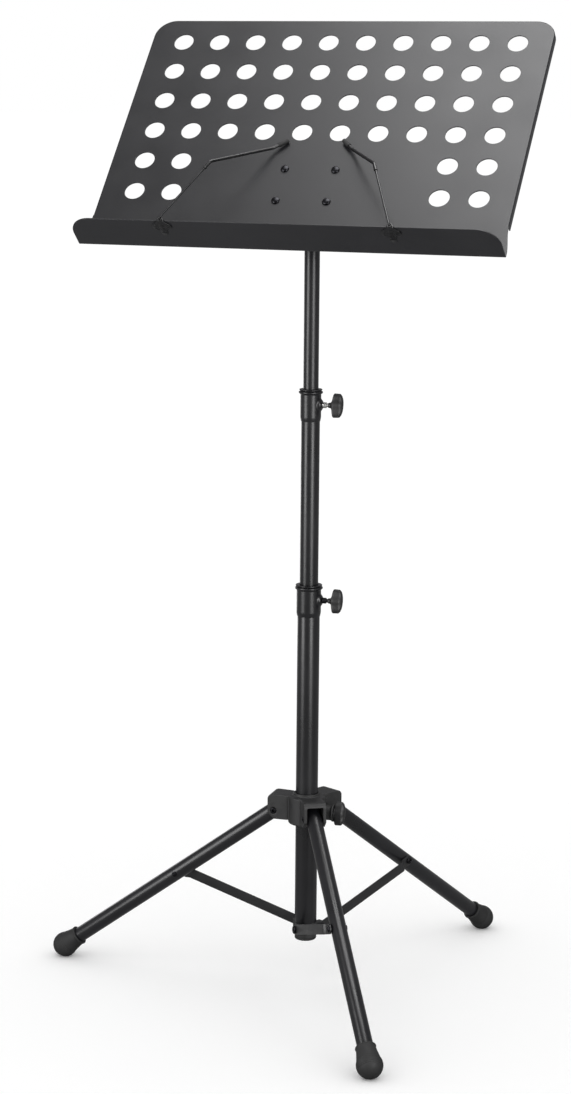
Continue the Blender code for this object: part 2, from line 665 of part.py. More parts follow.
def clamp_collar(name, parent, outer_tube, inner_tube, top):
    """Pressed collar on a tube's end, with a lip round the inner tube and a flared boss for the screw."""
    bore = outer_tube + GAP
    body = bore + COLLAR_WALL
    rim = body + COLLAR_RIM
    low = top - COLLAR_LENGTH
    lip = top + COLLAR_LIP
    profile = [(inner_tube + GAP, lip), (rim - COLLAR_ROUND, lip), (rim, lip - COLLAR_ROUND)]
    profile += [(rim, top + GAP), (body, top - COLLAR_WALL / 2), (body, low + COLLAR_TAPER)]
    profile += [(body - COLLAR_WALL / 2, low), (bore, low), (bore, top + GAP), (inner_tube + GAP, top + GAP)]
    collar = place(solid(name, turned(profile), tube_coat()), parent)
    out = body + BOSS_OUT
    at = (0, 0, top - CLAMP_DROP)
    along = (0, math.pi / 2, KNOB_TURN)
    inside = bore / 3
    cone = [(0, out), (BOSS_TIP_RADIUS, out), (BOSS_RADIUS, body - BOSS_ROOT)]
    cone += [(BOSS_RADIUS, inside), (0, inside)]
    boss = helper(name + "_boss", turned(cone, 16), parent, at, along)
    relief = rod(bore + COLLAR_WALL / 2, low, top)
    boolean(boss, helper(name + "_relief", relief, parent))
    boolean(collar, boss, "UNION")
    hole = rod(CLAMP_SCREW_RADIUS + GAP, 0, out + 5 * MM, SMALL_ROUND)
    boolean(collar, helper(name + "_hole", hole, parent, at, along))
    return out


def clamp_screw(name, parent, tip, seat, nut_length):
    """Screw along +X from the tube that it presses on to its knob; returns where the knob starts."""
    shoulder = seat + GAP
    neck = shoulder + nut_length
    knob_at = neck + NECK_LENGTH
    end = knob_at + KNOB_BORE_DEPTH - GAP
    profile = [(0, end), (NECK_RADIUS, end), (NECK_RADIUS, neck), (CLAMP_NUT_RADIUS, neck)]
    profile += [(CLAMP_NUT_RADIUS, shoulder), (CLAMP_SCREW_RADIUS, shoulder)]
    profile += [(CLAMP_SCREW_RADIUS, tip + SCREW_POINT)]
    profile += [(CLAMP_SCREW_RADIUS - SCREW_POINT_STEP, tip), (0, tip)]
    place(solid(name, turned(profile, SMALL_ROUND), bright_steel()), parent, rotation=ALONG_X)
    return knob_at


def clamp(prefix, parent, height, tip, seat, nut_length):
    """Screw and wing knob that turn together about a radial axis."""
    axis = empty(prefix + "_axis", parent, (0, 0, height), (KNOB_TILT, 0, KNOB_TURN))
    knob_at = clamp_screw(prefix + "_screw", axis, tip, seat, nut_length)
    wing_knob(prefix + "_knob", axis, knob_at)


def hub(parent):
    """Sliding hub: a barrel round the mast with three bridged clevises and a boss for its screw."""
    body = solid("hub", rod(HUB_RADIUS, -HUB_BOTTOM, HUB_TOP), moulded_plastic())
    place(body, parent)
    half = LEG_RADIUS + CHEEK_GAP + CHEEK
    roof = LEG_HEAD_SWEEP + 2 * GAP
    outline = [(5 * MM, HUB_TOP - 1 * MM), (CLEVIS_OUT - 7 * MM, HUB_TOP - 1 * MM)]
    corner = (CLEVIS_OUT - CLEVIS_ROUND, HUB_TOP - 1 * MM - CLEVIS_ROUND)
    outline += arc(corner, CLEVIS_ROUND, math.pi / 2, 0, 4)[1:]
    outline += [(CLEVIS_OUT, -3 * MM), (LEG_PIVOT_OUT, -CLEVIS_DROP), (5 * MM, -CLEVIS_DROP)]
    beyond = CLEVIS_OUT + 5 * MM
    below = -2 * HUB_BOTTOM
    slot = [(WEB_OUT, roof), (beyond, roof), (beyond, below), (WEB_OUT, below)]
    inner = LEG_RADIUS + CHEEK_GAP
    for name, azimuth in LEG_AZIMUTHS.items():
        upright = (math.pi / 2, 0, azimuth)
        clevis = prism(outline, -half, half)
        boolean(body, helper("clevis_" + name, clevis, parent, rotation=upright), "UNION")
    boss = rod(HUB_BOSS_RADIUS, HUB_RADIUS - 5 * MM, HUB_BOSS_OUT, 16)
    boolean(body, helper("hub_boss", boss, parent, rotation=ALONG_X), "UNION")
    for name, azimuth in LEG_AZIMUTHS.items():
        upright = (math.pi / 2, 0, azimuth)
        boolean(body, helper("slot_" + name, prism(slot, -inner, inner), parent, rotation=upright))
        bolt_hole = rod(LEG_BOLT_RADIUS + GAP, -half - 2 * MM, half + 2 * MM, SMALL_ROUND)
        where = Vector((LEG_PIVOT_OUT, 0, 0))
        where.rotate(Matrix.Rotation(azimuth, 3, "Z"))
        boolean(body, helper("bolt_hole_" + name, bolt_hole, parent, where, (-math.pi / 2, 0, azimuth)))
    boolean(body, helper("hub_bore", rod(LOWER_RADIUS + GAP, -50 * MM, 50 * MM), parent))
    hole = rod(CLAMP_SCREW_RADIUS + GAP, 0, HUB_BOSS_OUT + 5 * MM, SMALL_ROUND)
    boolean(body, helper("hub_screw_hole", hole, parent, rotation=ALONG_X))


def leg_bolt(name, parent):
    """Socket bolt across a clevis, along Y."""
    half = LEG_RADIUS + CHEEK_GAP + CHEEK
    low = -half - 0.4 * MM
    high = half + 0.4 * MM
    bolt = solid(name, rod(LEG_BOLT_RADIUS, low, high, SMALL_ROUND), black_steel())
    place(bolt, parent, rotation=ALONG_Y)
    socket = prism(hexagon(2 * SOCKET_SIZE), high - SOCKET_DEPTH, high + 1 * MM)
    boolean(bolt, helper(name + "_socket", socket, parent, rotation=ALONG_Y))


def leg(name, parent):
    """Round leg tube along -Z from its pivot, drilled for its bolt and for the brace's pin."""
    end = -(LEG_LENGTH - TUBE_TO_FOOT)
    tube = solid("leg_" + name, ring(LEG_RADIUS - LEG_WALL, LEG_RADIUS, end, LEG_HEAD, 16), tube_coat())
    place(tube, parent)
    wide = LEG_RADIUS + 3 * MM
    bolt_hole = rod(LEG_BOLT_RADIUS + GAP, -wide, wide, SMALL_ROUND)
    boolean(tube, helper("leg_bore_" + name, bolt_hole, parent, rotation=ALONG_Y))
    pin_hole = rod(RIVET_RADIUS + GAP, -wide, wide, SMALL_ROUND)
    boolean(tube, helper("pin_bore_" + name, pin_hole, parent, (0, 0, -BRACE_ON_LEG), ALONG_Y))
    near = -(LEG_RADIUS + TAB_GAP - GAP)
    head = LEG_RADIUS + GAP
    profile = [(r, head + z) for r, z in dome(PIN_HEAD_RADIUS, PIN_HEAD_HEIGHT)]
    profile += [(RIVET_RADIUS, head), (RIVET_RADIUS, near), (0, near)]
    pin = solid("leg_pin_" + name, turned(profile, SMALL_ROUND), black_steel())
    place(pin, parent, (0, 0, -BRACE_ON_LEG), ALONG_Y)


def foot(name, parent, floor):
    """Rubber boot on the leg's end: a beaded sleeve that swells into a ball, cut flat at the floor."""
    bore = LEG_RADIUS + GAP
    sleeve = bore + BOOT_WALL
    bottom = -LEG_LENGTH
    rim = bottom + BOOT_LENGTH
    seat = bottom + TUBE_TO_FOOT - GAP
    bead = sleeve + BOOT_BEAD
    profile = [(0, seat), (bore, seat), (bore, rim), (bead - 0.5 * MM, rim), (bead, rim - 0.7 * MM)]
    profile += [(bead, rim - 2.2 * MM), (sleeve, rim - 3 * MM)]
    for r, z in arc((0, bottom), FOOT_RADIUS, FOOT_SHOULDER, -math.pi / 2, 6):
        profile.append((max(r, 0), z))
    profile[-1] = (0, bottom - FOOT_RADIUS)
    boot = place(solid("foot_" + name, turned(profile, 16), black_rubber()), parent)
    boolean(boot, floor)


def block(low, high):
    """A bmesh box from its low and high corners."""
    x0, y0, z0 = low
    x1, y1, z1 = high
    return prism([(x0, y0), (x1, y0), (x1, y1), (x0, y1)], z0, z1)


def strap_collar(parent):
    """Collar in the mast's foot: a spigot in the tube and three ears beside it for the braces."""
    low = MAST_CLEAR + PLUG_HEIGHT + GAP
    high = low + COLLAR_HEIGHT
    spigot = LOWER_RADIUS - TUBE_WALL - GAP
    bore = PEG_RADIUS + GAP
    roof = low + PEG_LENGTH + GAP
    profile = [(0, high + COLLAR_SPIGOT), (spigot, high + COLLAR_SPIGOT), (spigot, high)]
    profile += [(LOWER_RADIUS, high), (LOWER_RADIUS, low), (bore, low), (bore, roof), (0, roof)]
    body = place(solid("strap_collar", turned(profile), moulded_plastic()), parent)
    face = -(BRACE_PLANE - GAP)
    for name, azimuth in LEG_AZIMUTHS.items():
        turn = (0, 0, azimuth + BASE_TURN)
        under = BRACE_PIVOT_HEIGHT - EAR_BELOW_PIVOT
        ear = block((2 * MM, face, under), (EAR_REACH, face + EAR_DEPTH, high - 0.1 * MM))
        boolean(body, helper("collar_ear_" + name, ear, parent, rotation=turn), "UNION")
    for name, azimuth in LEG_AZIMUTHS.items():
        where = Vector((BRACE_PIVOT_OUT, 0, BRACE_PIVOT_HEIGHT))
        where.rotate(Matrix.Rotation(azimuth + BASE_TURN, 3, "Z"))
        hole = rod(RIVET_RADIUS + GAP, face - 2 * MM, face + EAR_DEPTH - 1 * MM, SMALL_ROUND)
        boolean(body, helper("ear_hole_" + name, hole, parent, where, (-math.pi / 2, 0, azimuth + BASE_TURN)))


def collar_rivet(name, parent):
    """Rivet that holds a brace on the collar's ear, along -Y with its head outside."""
    outer = BRACE_PLANE + BRACE_THICKNESS + GAP
    inner = BRACE_PLANE - EAR_DEPTH + 1.4 * MM
    profile = [(r, outer + z) for r, z in dome(RIVET_HEAD_RADIUS, RIVET_HEAD_HEIGHT)]
    profile += [(RIVET_RADIUS, outer), (RIVET_RADIUS, inner), (0, inner)]
    rivet = solid("collar_rivet_" + name, turned(profile, SMALL_ROUND), black_steel())
    place(rivet, parent, rotation=(math.pi / 2, 0, 0))


def brace(name, parent):
    """Flat brace along +Z, joggled near its outer end so that its tab lies on the leg's side."""
    half = BRACE_WIDTH / 2
    outline = arc((0, 0), half, math.pi, math.tau, 6) + arc((0, BRACE_LENGTH), half, 0, math.pi, 6)
    loops = [outline]
    loops += [circle((0, z), RIVET_RADIUS + GAP, 8) for z in (0, BRACE_LENGTH)]
    bm = bmesh.new()
    for loop in loops:
        verts = [bm.verts.new((x, 0, z)) for x, z in loop]
        for pair in zip(verts, verts[1:] + verts[:1]):
            bm.edges.new(pair)
    bmesh.ops.triangle_fill(bm, edges=bm.edges, use_beauty=True, normal=(0, -1, 0))
    grown = bmesh.ops.extrude_face_region(bm, geom=bm.faces[:])
    outer = [v for v in grown["geom"] if isinstance(v, bmesh.types.BMVert)]
    bmesh.ops.translate(bm, verts=outer, vec=(0, -BRACE_THICKNESS, 0))
    flat = BRACE_LENGTH - TAB_LENGTH
    for cut in (flat, flat - JOGGLE_LENGTH / 2, flat - JOGGLE_LENGTH):
        geom = bm.verts[:] + bm.edges[:] + bm.faces[:]
        bmesh.ops.bisect_plane(bm, geom=geom, plane_co=(0, 0, cut), plane_no=(0, 0, 1), dist=1e-6)
    step = BRACE_PLANE - LEG_RADIUS - TAB_GAP
    for v in bm.verts:
        share = min(max((v.co.z - flat + JOGGLE_LENGTH) / JOGGLE_LENGTH, 0), 1)
        v.co.y += step * share - BRACE_PLANE
    bmesh.ops.triangulate(bm, faces=bm.faces)
    place(solid("brace_" + name, bm, brace_coat(), smooth=False), parent)
    tab_face = LEG_RADIUS + TAB_GAP
    outer = tab_face + BRACE_THICKNESS + GAP
    profile = [(r, outer + z) for r, z in dome(RIVET_HEAD_RADIUS - 0.6 * MM, RIVET_HEAD_HEIGHT - 0.8 * MM)]
    profile += [(RIVET_RADIUS, outer), (RIVET_RADIUS, tab_face), (0, tab_face)]
    rivet = solid("brace_rivet_" + name, turned(profile, SMALL_ROUND), black_steel())
    place(rivet, parent, (0, 0, BRACE_LENGTH), (math.pi / 2, 0, 0))


def mast_plug(parent):
    """Rounded cap under the mast, held by a peg in the collar."""
    top = MAST_CLEAR + PLUG_HEIGHT
    profile = [(0, top + PEG_LENGTH), (PEG_RADIUS, top + PEG_LENGTH), (PEG_RADIUS, top), (LOWER_RADIUS, top)]
    profile += [(LOWER_RADIUS, top - PLUG_HEIGHT / 3), (LOWER_RADIUS - 1 * MM, top - 2 * PLUG_HEIGHT / 3)]
    profile += [(LOWER_RADIUS - 4 * MM, MAST_CLEAR), (0, MAST_CLEAR)]
    place(solid("mast_plug", turned(profile), moulded_plastic()), parent)


def holder_clip(name, parent, x):
    """Sprung clip on the shelf's front edge: a wide leaf below, a narrow one above, and an eye in front."""
    under = FOOT_OF_DESK - GAP
    over = FOOT_OF_DESK + SHEET + GAP
    front = SHELF_FRONT - GAP
    half = CLIP_WIDTH / 2
    back = CLIP_DEPTH
    leaf = [(-0.35 * half, 0), (0.35 * half, 0), (0.92 * half, 0.25 * back), (half, 0.45 * back)]
    leaf += [(0.8 * half, 0.62 * back), (0.36 * half, 0.72 * back), (0.3 * half, back), (-0.3 * half, back)]
    leaf += [(-0.36 * half, 0.72 * back), (-0.8 * half, 0.62 * back)]
    leaf += [(-half, 0.45 * back), (-0.92 * half, 0.25 * back)]
    lower = prism([(px, front - CLIP_SHEET + py) for px, py in leaf], under - CLIP_SHEET, under)
    clip = place(solid("holder_clip_" + name, lower, black_steel(), smooth=False), parent, (x, 0, 0))
    tongue = CLIP_TONGUE / 2
    high = over + CLIP_SHEET
    hook = [(front - CLIP_SHEET, under - CLIP_SHEET / 2), (front, under - CLIP_SHEET / 2), (front, over)]
    hook += [(front + CLIP_GRIP, over), (front + CLIP_GRIP, high), (front - CLIP_SHEET, high)]
    bm = prism(hook, -tongue * 0.9, tongue * 0.9)
    turn = Matrix.Rotation(math.pi / 2, 3, "Z") @ Matrix.Rotation(math.pi / 2, 3, "X")
    bmesh.ops.rotate(bm, cent=(0, 0, 0), matrix=turn, verts=bm.verts)
    boolean(clip, helper("clip_hook_" + name, bm, parent, (x, 0, 0)), "UNION")
    eye_z = FOOT_OF_DESK + SHEET / 2
    eye = rod(EYE_RADIUS, CLIP_SHEET / 2, CLIP_SHEET + EYE_LENGTH, SMALL_ROUND)
    boolean(clip, helper("clip_eye_" + name, eye, parent, (x, front, eye_z), (math.pi / 2, 0, 0)), "UNION")
    bore = rod(WIRE_RADIUS + GAP, -GAP / 2, CLIP_SHEET + EYE_LENGTH + 1 * MM, 12)
    boolean(clip, helper("clip_bore_" + name, bore, parent, (x, front, eye_z), (math.pi / 2, 0, 0)))


def holder_arm(name, swing, x, lean, kink):
    """Wire from the clip's eye, with a bent rod that turns on its end and a rubber tip on the rod.

    The wire lies in a plane parallel to the desk; the rod crosses from that plane to the face.
    """
    inward = -math.copysign(1, x)
    wire_y = SHELF_FRONT - CLIP_SHEET - EYE_LENGTH - 2 * GAP - WIRE_BEND
    eye = Vector((0, wire_y, 0))

    def across(angle):
        return Vector((inward * math.cos(angle), 0, math.sin(angle)))

    along = across(lean)
    elbow = eye + along * WIRE_LENGTH
    pin_end = Vector((0, SHELF_FRONT - 2 * GAP, 0))
    socket = elbow - along * ROD_LEG
    wire_points = rounded_path([pin_end, eye, socket + along * WIRE_IN_ROD], WIRE_BEND)
    place(solid("holder_wire_" + name, swept(wire_points, WIRE_RADIUS), spring_wire()), swing)
    toe = elbow + across(lean - kink) * ROD_REACH
    toe.y = FACE - TOE_STANDOFF
    tip = toe + across(lean - TOE_KINK) * TOE_LENGTH
    tip.y = FACE - TIP_STANDOFF
    pivot = empty("holder_rod_axis_" + name, swing, elbow)
    points = [p - elbow for p in (socket, elbow, toe, tip)]
    bar = solid("holder_rod_" + name, swept(rounded_path(points, ROD_BEND, 3), ROD_RADIUS), spring_wire())
    place(bar, pivot)
    bore_ends = [socket - along * 1 * MM - elbow, socket + along * (WIRE_IN_ROD + GAP) - elbow]
    bore = swept(bore_ends, WIRE_RADIUS + GAP)
    boolean(bar, helper("rod_bore_" + name, bore, pivot))
    end = (tip - toe).normalized()
    rim = TIP_COVER - TIP_LENGTH
    cap = [(0, TIP_COVER), (TIP_RADIUS - TIP_ROUND, TIP_COVER), (TIP_RADIUS, TIP_COVER - TIP_ROUND)]
    cap += [(TIP_RADIUS, rim), (ROD_RADIUS + GAP, rim), (ROD_RADIUS + GAP, GAP), (0, GAP)]
    tip_cap = solid("holder_tip_" + name, turned(cap, SMALL_ROUND), black_rubber())
    place(tip_cap, pivot, tip - elbow, end.to_track_quat("Z", "Y").to_euler())


def build_desk(head_frame):
    """Everything that tilts with the desk."""
    frame = empty("desk_tilt_axis", head_frame, rotation=(-DESK_LEAN, 0, 0))
    knob_frame = empty("tilt_knob_axis", frame)
    desk_panel(frame)
    tilt_bracket(frame)
    desk_screws(frame)
    tilt_fasteners(frame, knob_frame)
    for name, (x, lean, kink) in ARMS.items():
        holder_clip(name, frame, x)
        swing = empty("holder_swing_axis_" + name, frame, (x, 0, FOOT_OF_DESK + SHEET / 2))
        holder_arm(name, swing, x, lean, kink)


def build_mast(root):
    """The three tubes, their glides, collars and clamps, and the desk on top."""
    lower_screw = LOWER_TOP - CLAMP_DROP
    middle_screw = MIDDLE_TOP - CLAMP_DROP
    mast_tube("lower_tube", root, LOWER_RADIUS, LOWER_TOP, LOWER_LENGTH, lower_screw)
    seat = clamp_collar("lower_collar", root, LOWER_RADIUS, MIDDLE_RADIUS, LOWER_TOP)
    clamp("lower_clamp", root, lower_screw, MIDDLE_RADIUS + GAP, seat, CLAMP_NUT_LENGTH)
    middle = empty("middle_axis", root)
    mast_tube("middle_tube", middle, MIDDLE_RADIUS, MIDDLE_TOP, MIDDLE_LENGTH, middle_screw)
    glide("middle_glide", middle, MIDDLE_RADIUS, LOWER_RADIUS - TUBE_WALL, MIDDLE_TOP - MIDDLE_LENGTH)
    seat = clamp_collar("upper_collar", middle, MIDDLE_RADIUS, UPPER_RADIUS, MIDDLE_TOP)
    clamp("upper_clamp", middle, middle_screw, UPPER_RADIUS + GAP, seat, CLAMP_NUT_LENGTH)
    upper = empty("upper_axis", middle)
    mast_tube("upper_tube", upper, UPPER_RADIUS, UPPER_TOP, UPPER_LENGTH)
    glide("upper_glide", upper, UPPER_RADIUS, MIDDLE_RADIUS - TUBE_WALL, UPPER_TOP - UPPER_LENGTH)
    head_frame = empty("tilt_axis", upper, (0, 0, TILT_HEIGHT))
    tilt_head(head_frame)
    build_desk(head_frame)


def build_base(root):
    """Hub, legs, feet, braces and the collar at the mast's foot."""
    floor = block((-0.6, -0.6, -0.1), (0.6, 0.6, 0))
    floor = helper("floor_cut", floor, root)
    hub_frame = empty("hub_axis", root, (0, 0, HUB_HEIGHT), (0, 0, BASE_TURN))
    hub(hub_frame)
    seat = HUB_BOSS_OUT
    screw_axis = empty("hub_clamp_axis", hub_frame, rotation=(KNOB_TILT, 0, 0))
    knob_at = clamp_screw("hub_clamp_screw", screw_axis, LOWER_RADIUS + GAP, seat, HUB_NECK - NECK_LENGTH)
    wing_knob("hub_clamp_knob", screw_axis, knob_at)
    strap_collar(root)
    mast_plug(root)
    for name, azimuth in LEG_AZIMUTHS.items():
        radial = empty("leg_plane_" + name, hub_frame, rotation=(0, 0, azimuth))
        pivot = empty("leg_axis_" + name, radial, (LEG_PIVOT_OUT, 0, 0), (0, -LEG_ANGLE, 0))
        leg_bolt("leg_bolt_" + name, empty("leg_bolt_seat_" + name, radial, (LEG_PIVOT_OUT, 0, 0)))
        leg(name, pivot)
        foot(name, pivot, floor)
        low_plane = empty("brace_plane_" + name, root, rotation=(0, 0, azimuth + BASE_TURN))
        at = (BRACE_PIVOT_OUT, 0, BRACE_PIVOT_HEIGHT)
        collar_rivet(name, empty("rivet_seat_" + name, low_plane, at))
        brace(name, empty("brace_axis_" + name, low_plane, at, (0, BRACE_ANGLE, 0)))


def centre_on_floor(root):
    """Moves the stand so that the middle of its box is over the origin."""
    bpy.context.view_layer.update()
    graph = bpy.context.evaluated_depsgraph_get()
    corners = []
    for obj in bpy.context.scene.objects:
        if obj.type == "MESH" and not obj.hide_render:
            shown = obj.evaluated_get(graph)
            corners += [shown.matrix_world @ v.co for v in shown.data.vertices]
    for axis in (0, 1):
        values = [c[axis] for c in corners]
        root.location[axis] -= (min(values) + max(values)) / 2


def main():
    clear_scene()
    root = empty("music_stand", None)
    build_mast(root)
    build_base(root)
    centre_on_floor(root)


main()
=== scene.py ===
"""Looks of a folding music stand: fine meshes and finishes on the fixed frame, in a pale studio."""

import json
import math

import bmesh
import bpy
import numpy as np
from mathutils import Matrix, Vector


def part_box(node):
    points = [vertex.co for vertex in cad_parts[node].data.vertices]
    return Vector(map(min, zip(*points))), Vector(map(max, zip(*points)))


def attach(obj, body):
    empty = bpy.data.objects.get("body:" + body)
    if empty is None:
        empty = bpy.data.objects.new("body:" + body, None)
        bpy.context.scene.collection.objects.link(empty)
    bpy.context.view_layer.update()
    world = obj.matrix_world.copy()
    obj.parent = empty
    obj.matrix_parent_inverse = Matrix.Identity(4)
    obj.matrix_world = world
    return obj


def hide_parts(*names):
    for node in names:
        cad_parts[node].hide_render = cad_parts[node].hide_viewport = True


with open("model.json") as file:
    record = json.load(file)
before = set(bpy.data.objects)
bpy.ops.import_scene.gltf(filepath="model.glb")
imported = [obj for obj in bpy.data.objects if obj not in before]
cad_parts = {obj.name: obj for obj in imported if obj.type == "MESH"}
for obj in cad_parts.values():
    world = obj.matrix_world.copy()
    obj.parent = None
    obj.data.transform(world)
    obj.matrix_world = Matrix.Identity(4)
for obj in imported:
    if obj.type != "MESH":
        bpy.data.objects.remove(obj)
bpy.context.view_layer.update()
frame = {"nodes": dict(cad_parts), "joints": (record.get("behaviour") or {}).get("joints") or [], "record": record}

MM = 0.001
JOINTS = {joint["name"]: joint for joint in frame["joints"]}
MOUNTS = {mount["name"]: mount for mount in frame["record"]["mounts"]}
LEGS = ("left", "right", "front")
SIDES = ("left", "right")
FINE = 72  # sides of the large round pieces
SMALL = 32  # sides of screws, rivets and wires


# ---------------------------------------------------------------- places read from the frame

def middle(node):
    low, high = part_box(node)
    return (low + high) / 2


def basis(origin, x, y, z):
    """A placing matrix from an origin and three axes."""
    turn = Matrix((x, y, z)).transposed().to_4x4()
    return Matrix.Translation(origin) @ turn


def upright(origin, out):
    """Frame with +Z up and +X along a level direction."""
    x = Vector((out.x, out.y, 0)).normalized()
    z = Vector((0, 0, 1))
    return basis(origin, x, z.cross(x), z)


def along(origin, direction, side):
    """Frame with +Z along a direction and +X as near as can be to a side."""
    z = Vector(direction).normalized()
    x = Vector(side)
    x = (x - z * x.dot(z)).normalized()
    return basis(origin, x, z.cross(x), z)


def node_points(node):
    return np.array([v.co for v in frame["nodes"][node].data.vertices], float)


def local_points(node, place):
    """A node's points in the frame of a placing matrix."""
    inverse = np.array(place.inverted())
    return node_points(node) @ inverse[:3, :3].T + inverse[:3, 3]


def span(node, place):
    """Lowest and highest corner of a node in the frame of a placing matrix."""
    points = local_points(node, place)
    return Vector(points.min(0)), Vector(points.max(0))


def long_axis(node):
    """Direction in which a node is longest."""
    points = node_points(node)
    return Vector(np.linalg.svd(points - points.mean(0), full_matrices=False)[2][0])


def joint_place(name):
    joint = JOINTS[name]
    return Vector(joint["pos_m"]), Vector(joint["axis"]).normalized()


MAST = Vector((middle("lower_tube").x, middle("lower_tube").y, 0))


def desk_place():
    """Frame of the desk: origin on the tilt axis, +X right, -Y out of the page face, +Z up the page."""
    origin, right = joint_place("desk_tilt")
    out = Vector(MOUNTS["page_face"]["axis"])
    return basis(origin, right, -out, Vector(MOUNTS["shelf_top"]["axis"]))


DESK = desk_place()


# ---------------------------------------------------------------- making meshes

def finished(name, bm, body, mat, nodes=(), place=None, angle=30, smooth=True):
    """A piece from a bmesh in the frame of place, with its finish, riding on a body."""
    bmesh.ops.remove_doubles(bm, verts=bm.verts, dist=1e-7)
    bmesh.ops.recalc_face_normals(bm, faces=bm.faces)
    mesh = bpy.data.meshes.new(name)
    bm.to_mesh(mesh)
    bm.free()
    if place is not None:
        mesh.transform(place)
    if smooth:
        mesh.shade_smooth()
        mesh.set_sharp_from_angle(angle=math.radians(angle))
    mesh.materials.append(mat)
    piece = bpy.data.objects.new(name, mesh)
    bpy.context.scene.collection.objects.link(piece)
    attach(piece, body)
    if nodes:
        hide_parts(*nodes)
    return piece


def arc(centre, radius, start, end, steps):
    angles = [math.radians(start + (end - start) * i / steps) for i in range(steps + 1)]
    return [(centre[0] + radius * math.cos(a), centre[1] + radius * math.sin(a)) for a in angles]


def softened(profile, radius, steps=3, closed=True):
    """The profile with each corner rounded, and the corner's size limited by its sides."""
    points = [Vector(p) for p in profile]
    count = len(points)
    made = []
    for i, corner in enumerate(points):
        if not closed and i in (0, count - 1):
            made.append(corner)
            continue
        before = points[i - 1] - corner
        after = points[(i + 1) % count] - corner
        cut = min(radius, before.length * 0.45, after.length * 0.45)
        start = corner + before.normalized() * cut
        end = corner + after.normalized() * cut
        for k in range(steps + 1):
            t = k / steps
            made.append(start * (1 - t) ** 2 + corner * 2 * t * (1 - t) + end * t * t)
    return [(p[0], p[1]) for p in made]


def turned(profile, sides=FINE, shape=None):
    """A bmesh turned about Z. shape(radius, height, angle) may change a point's radius."""
    bm = bmesh.new()
    rings = []
    for r, z in profile:
        if r < 1e-7:
            rings.append([bm.verts.new((0, 0, z))])
            continue
        ring = []
        for k in range(sides):
            a = math.tau * k / sides
            radius = shape(r, z, a) if shape else r
            ring.append(bm.verts.new((radius * math.cos(a), radius * math.sin(a), z)))
        rings.append(ring)
    on_axis = len(rings[0]) == 1
    pairs = list(zip(rings, rings[1:]))
    if not on_axis:
        pairs.append((rings[-1], rings[0]))
    for one, two in pairs:
        for k in range(sides):
            n = (k + 1) % sides
            corners = [one[k % len(one)], one[n % len(one)], two[n % len(two)], two[k % len(two)]]
            corners = list(dict.fromkeys(corners))
            if len(corners) > 2:
                bm.faces.new(corners)
    return bm


def prism(outline, low, high, soft=0, steps=2):
    """A bmesh of an outline in X and Y extruded along Z, with its rims rounded by soft."""
    bm = bmesh.new()
    face = bm.faces.new([bm.verts.new((x, y, low)) for x, y in outline])
    grown = bmesh.ops.extrude_face_region(bm, geom=[face])
    top = [v for v in grown["geom"] if isinstance(v, bmesh.types.BMVert)]
    bmesh.ops.translate(bm, verts=top, vec=(0, 0, high - low))
    bmesh.ops.recalc_face_normals(bm, faces=bm.faces)
    if soft:
        rims = [e for e in bm.edges if abs(e.verts[0].co.z - e.verts[1].co.z) < 1e-9]
        bmesh.ops.bevel(
            bm, geom=rims, offset=soft, segments=steps, profile=0.5, affect="EDGES",
            clamp_overlap=True,
        )
    return bm


def swept(points, radius, sides=16, radii=None):
    """A bmesh of a round bar along a path; radii may give each point its own radius."""
    bm = bmesh.new()
    path = [Vector(p) for p in points]
    side = (path[1] - path[0]).orthogonal().normalized()
    rings = []
    for i, point in enumerate(path):
        ahead = (path[min(i + 1, len(path) - 1)] - point).normalized()
        behind = (point - path[max(i - 1, 0)]).normalized()
        forward = (ahead + behind).normalized()
        side = (side - forward * side.dot(forward)).normalized()
        across = forward.cross(side)
        r = radii[i] if radii else radius
        ring = []
        for k in range(sides):
            a = math.tau * k / sides
            ring.append(bm.verts.new(point + r * (side * math.cos(a) + across * math.sin(a))))
        rings.append(ring)
    for one, two in zip(rings, rings[1:]):
        for k in range(sides):
            n = (k + 1) % sides
            bm.faces.new((one[k], one[n], two[n], two[k]))
    bm.faces.new(rings[0])
    bm.faces.new(rings[-1])
    return bm


def rounded_path(points, radius, steps=8):
    path = [Vector(points[0])]
    for before, corner, after in zip(points, points[1:], points[2:]):
        corner = Vector(corner)
        back = (Vector(before) - corner).normalized()
        on = (Vector(after) - corner).normalized()
        half = back.angle(on) / 2
        centre = corner + (back + on).normalized() * (radius / math.sin(half))
        start = corner + back * (radius / math.tan(half)) - centre
        end = corner + on * (radius / math.tan(half)) - centre
        for k in range(steps + 1):
            path.append(centre + radius * start.lerp(end, k / steps).normalized())
    return path + [Vector(points[-1])]


def joined(*meshes):
    """One bmesh from several, each given as a bmesh or as (bmesh, placing matrix)."""
    whole = bmesh.new()
    for item in meshes:
        bm, place = item if isinstance(item, tuple) else (item, Matrix())
        bmesh.ops.transform(bm, matrix=place, verts=bm.verts)
        mesh = bpy.data.meshes.new("part_shape")
        bm.to_mesh(mesh)
        bm.free()
        whole.from_mesh(mesh)
        bpy.data.meshes.remove(mesh)
    return whole


def dome(radius, height, edge=0.35, steps=8):
    """Half profile of a domed head above z = 0, from its crown down to its seat."""
    points = [(0, height)]
    for i in range(1, steps + 1):
        a = math.pi / 2 * (1 - i / steps)
        points.append((radius * math.cos(a), height * (edge + (1 - edge) * math.sin(a))))
    return points + [(radius, edge * height * 0.3), (radius * 0.96, 0)]


def ease(t):
    t = min(max(t, 0), 1)
    return t * t * (3 - 2 * t)


# ---------------------------------------------------------------- finishes

def linear(hex_colour):
    """Linear RGBA from an sRGB hex colour."""
    parts = [int(hex_colour[i : i + 2], 16) / 255 for i in (1, 3, 5)]
    return [p / 12.92 if p <= 0.04045 else ((p + 0.055) / 1.055) ** 2.4 for p in parts] + [1]


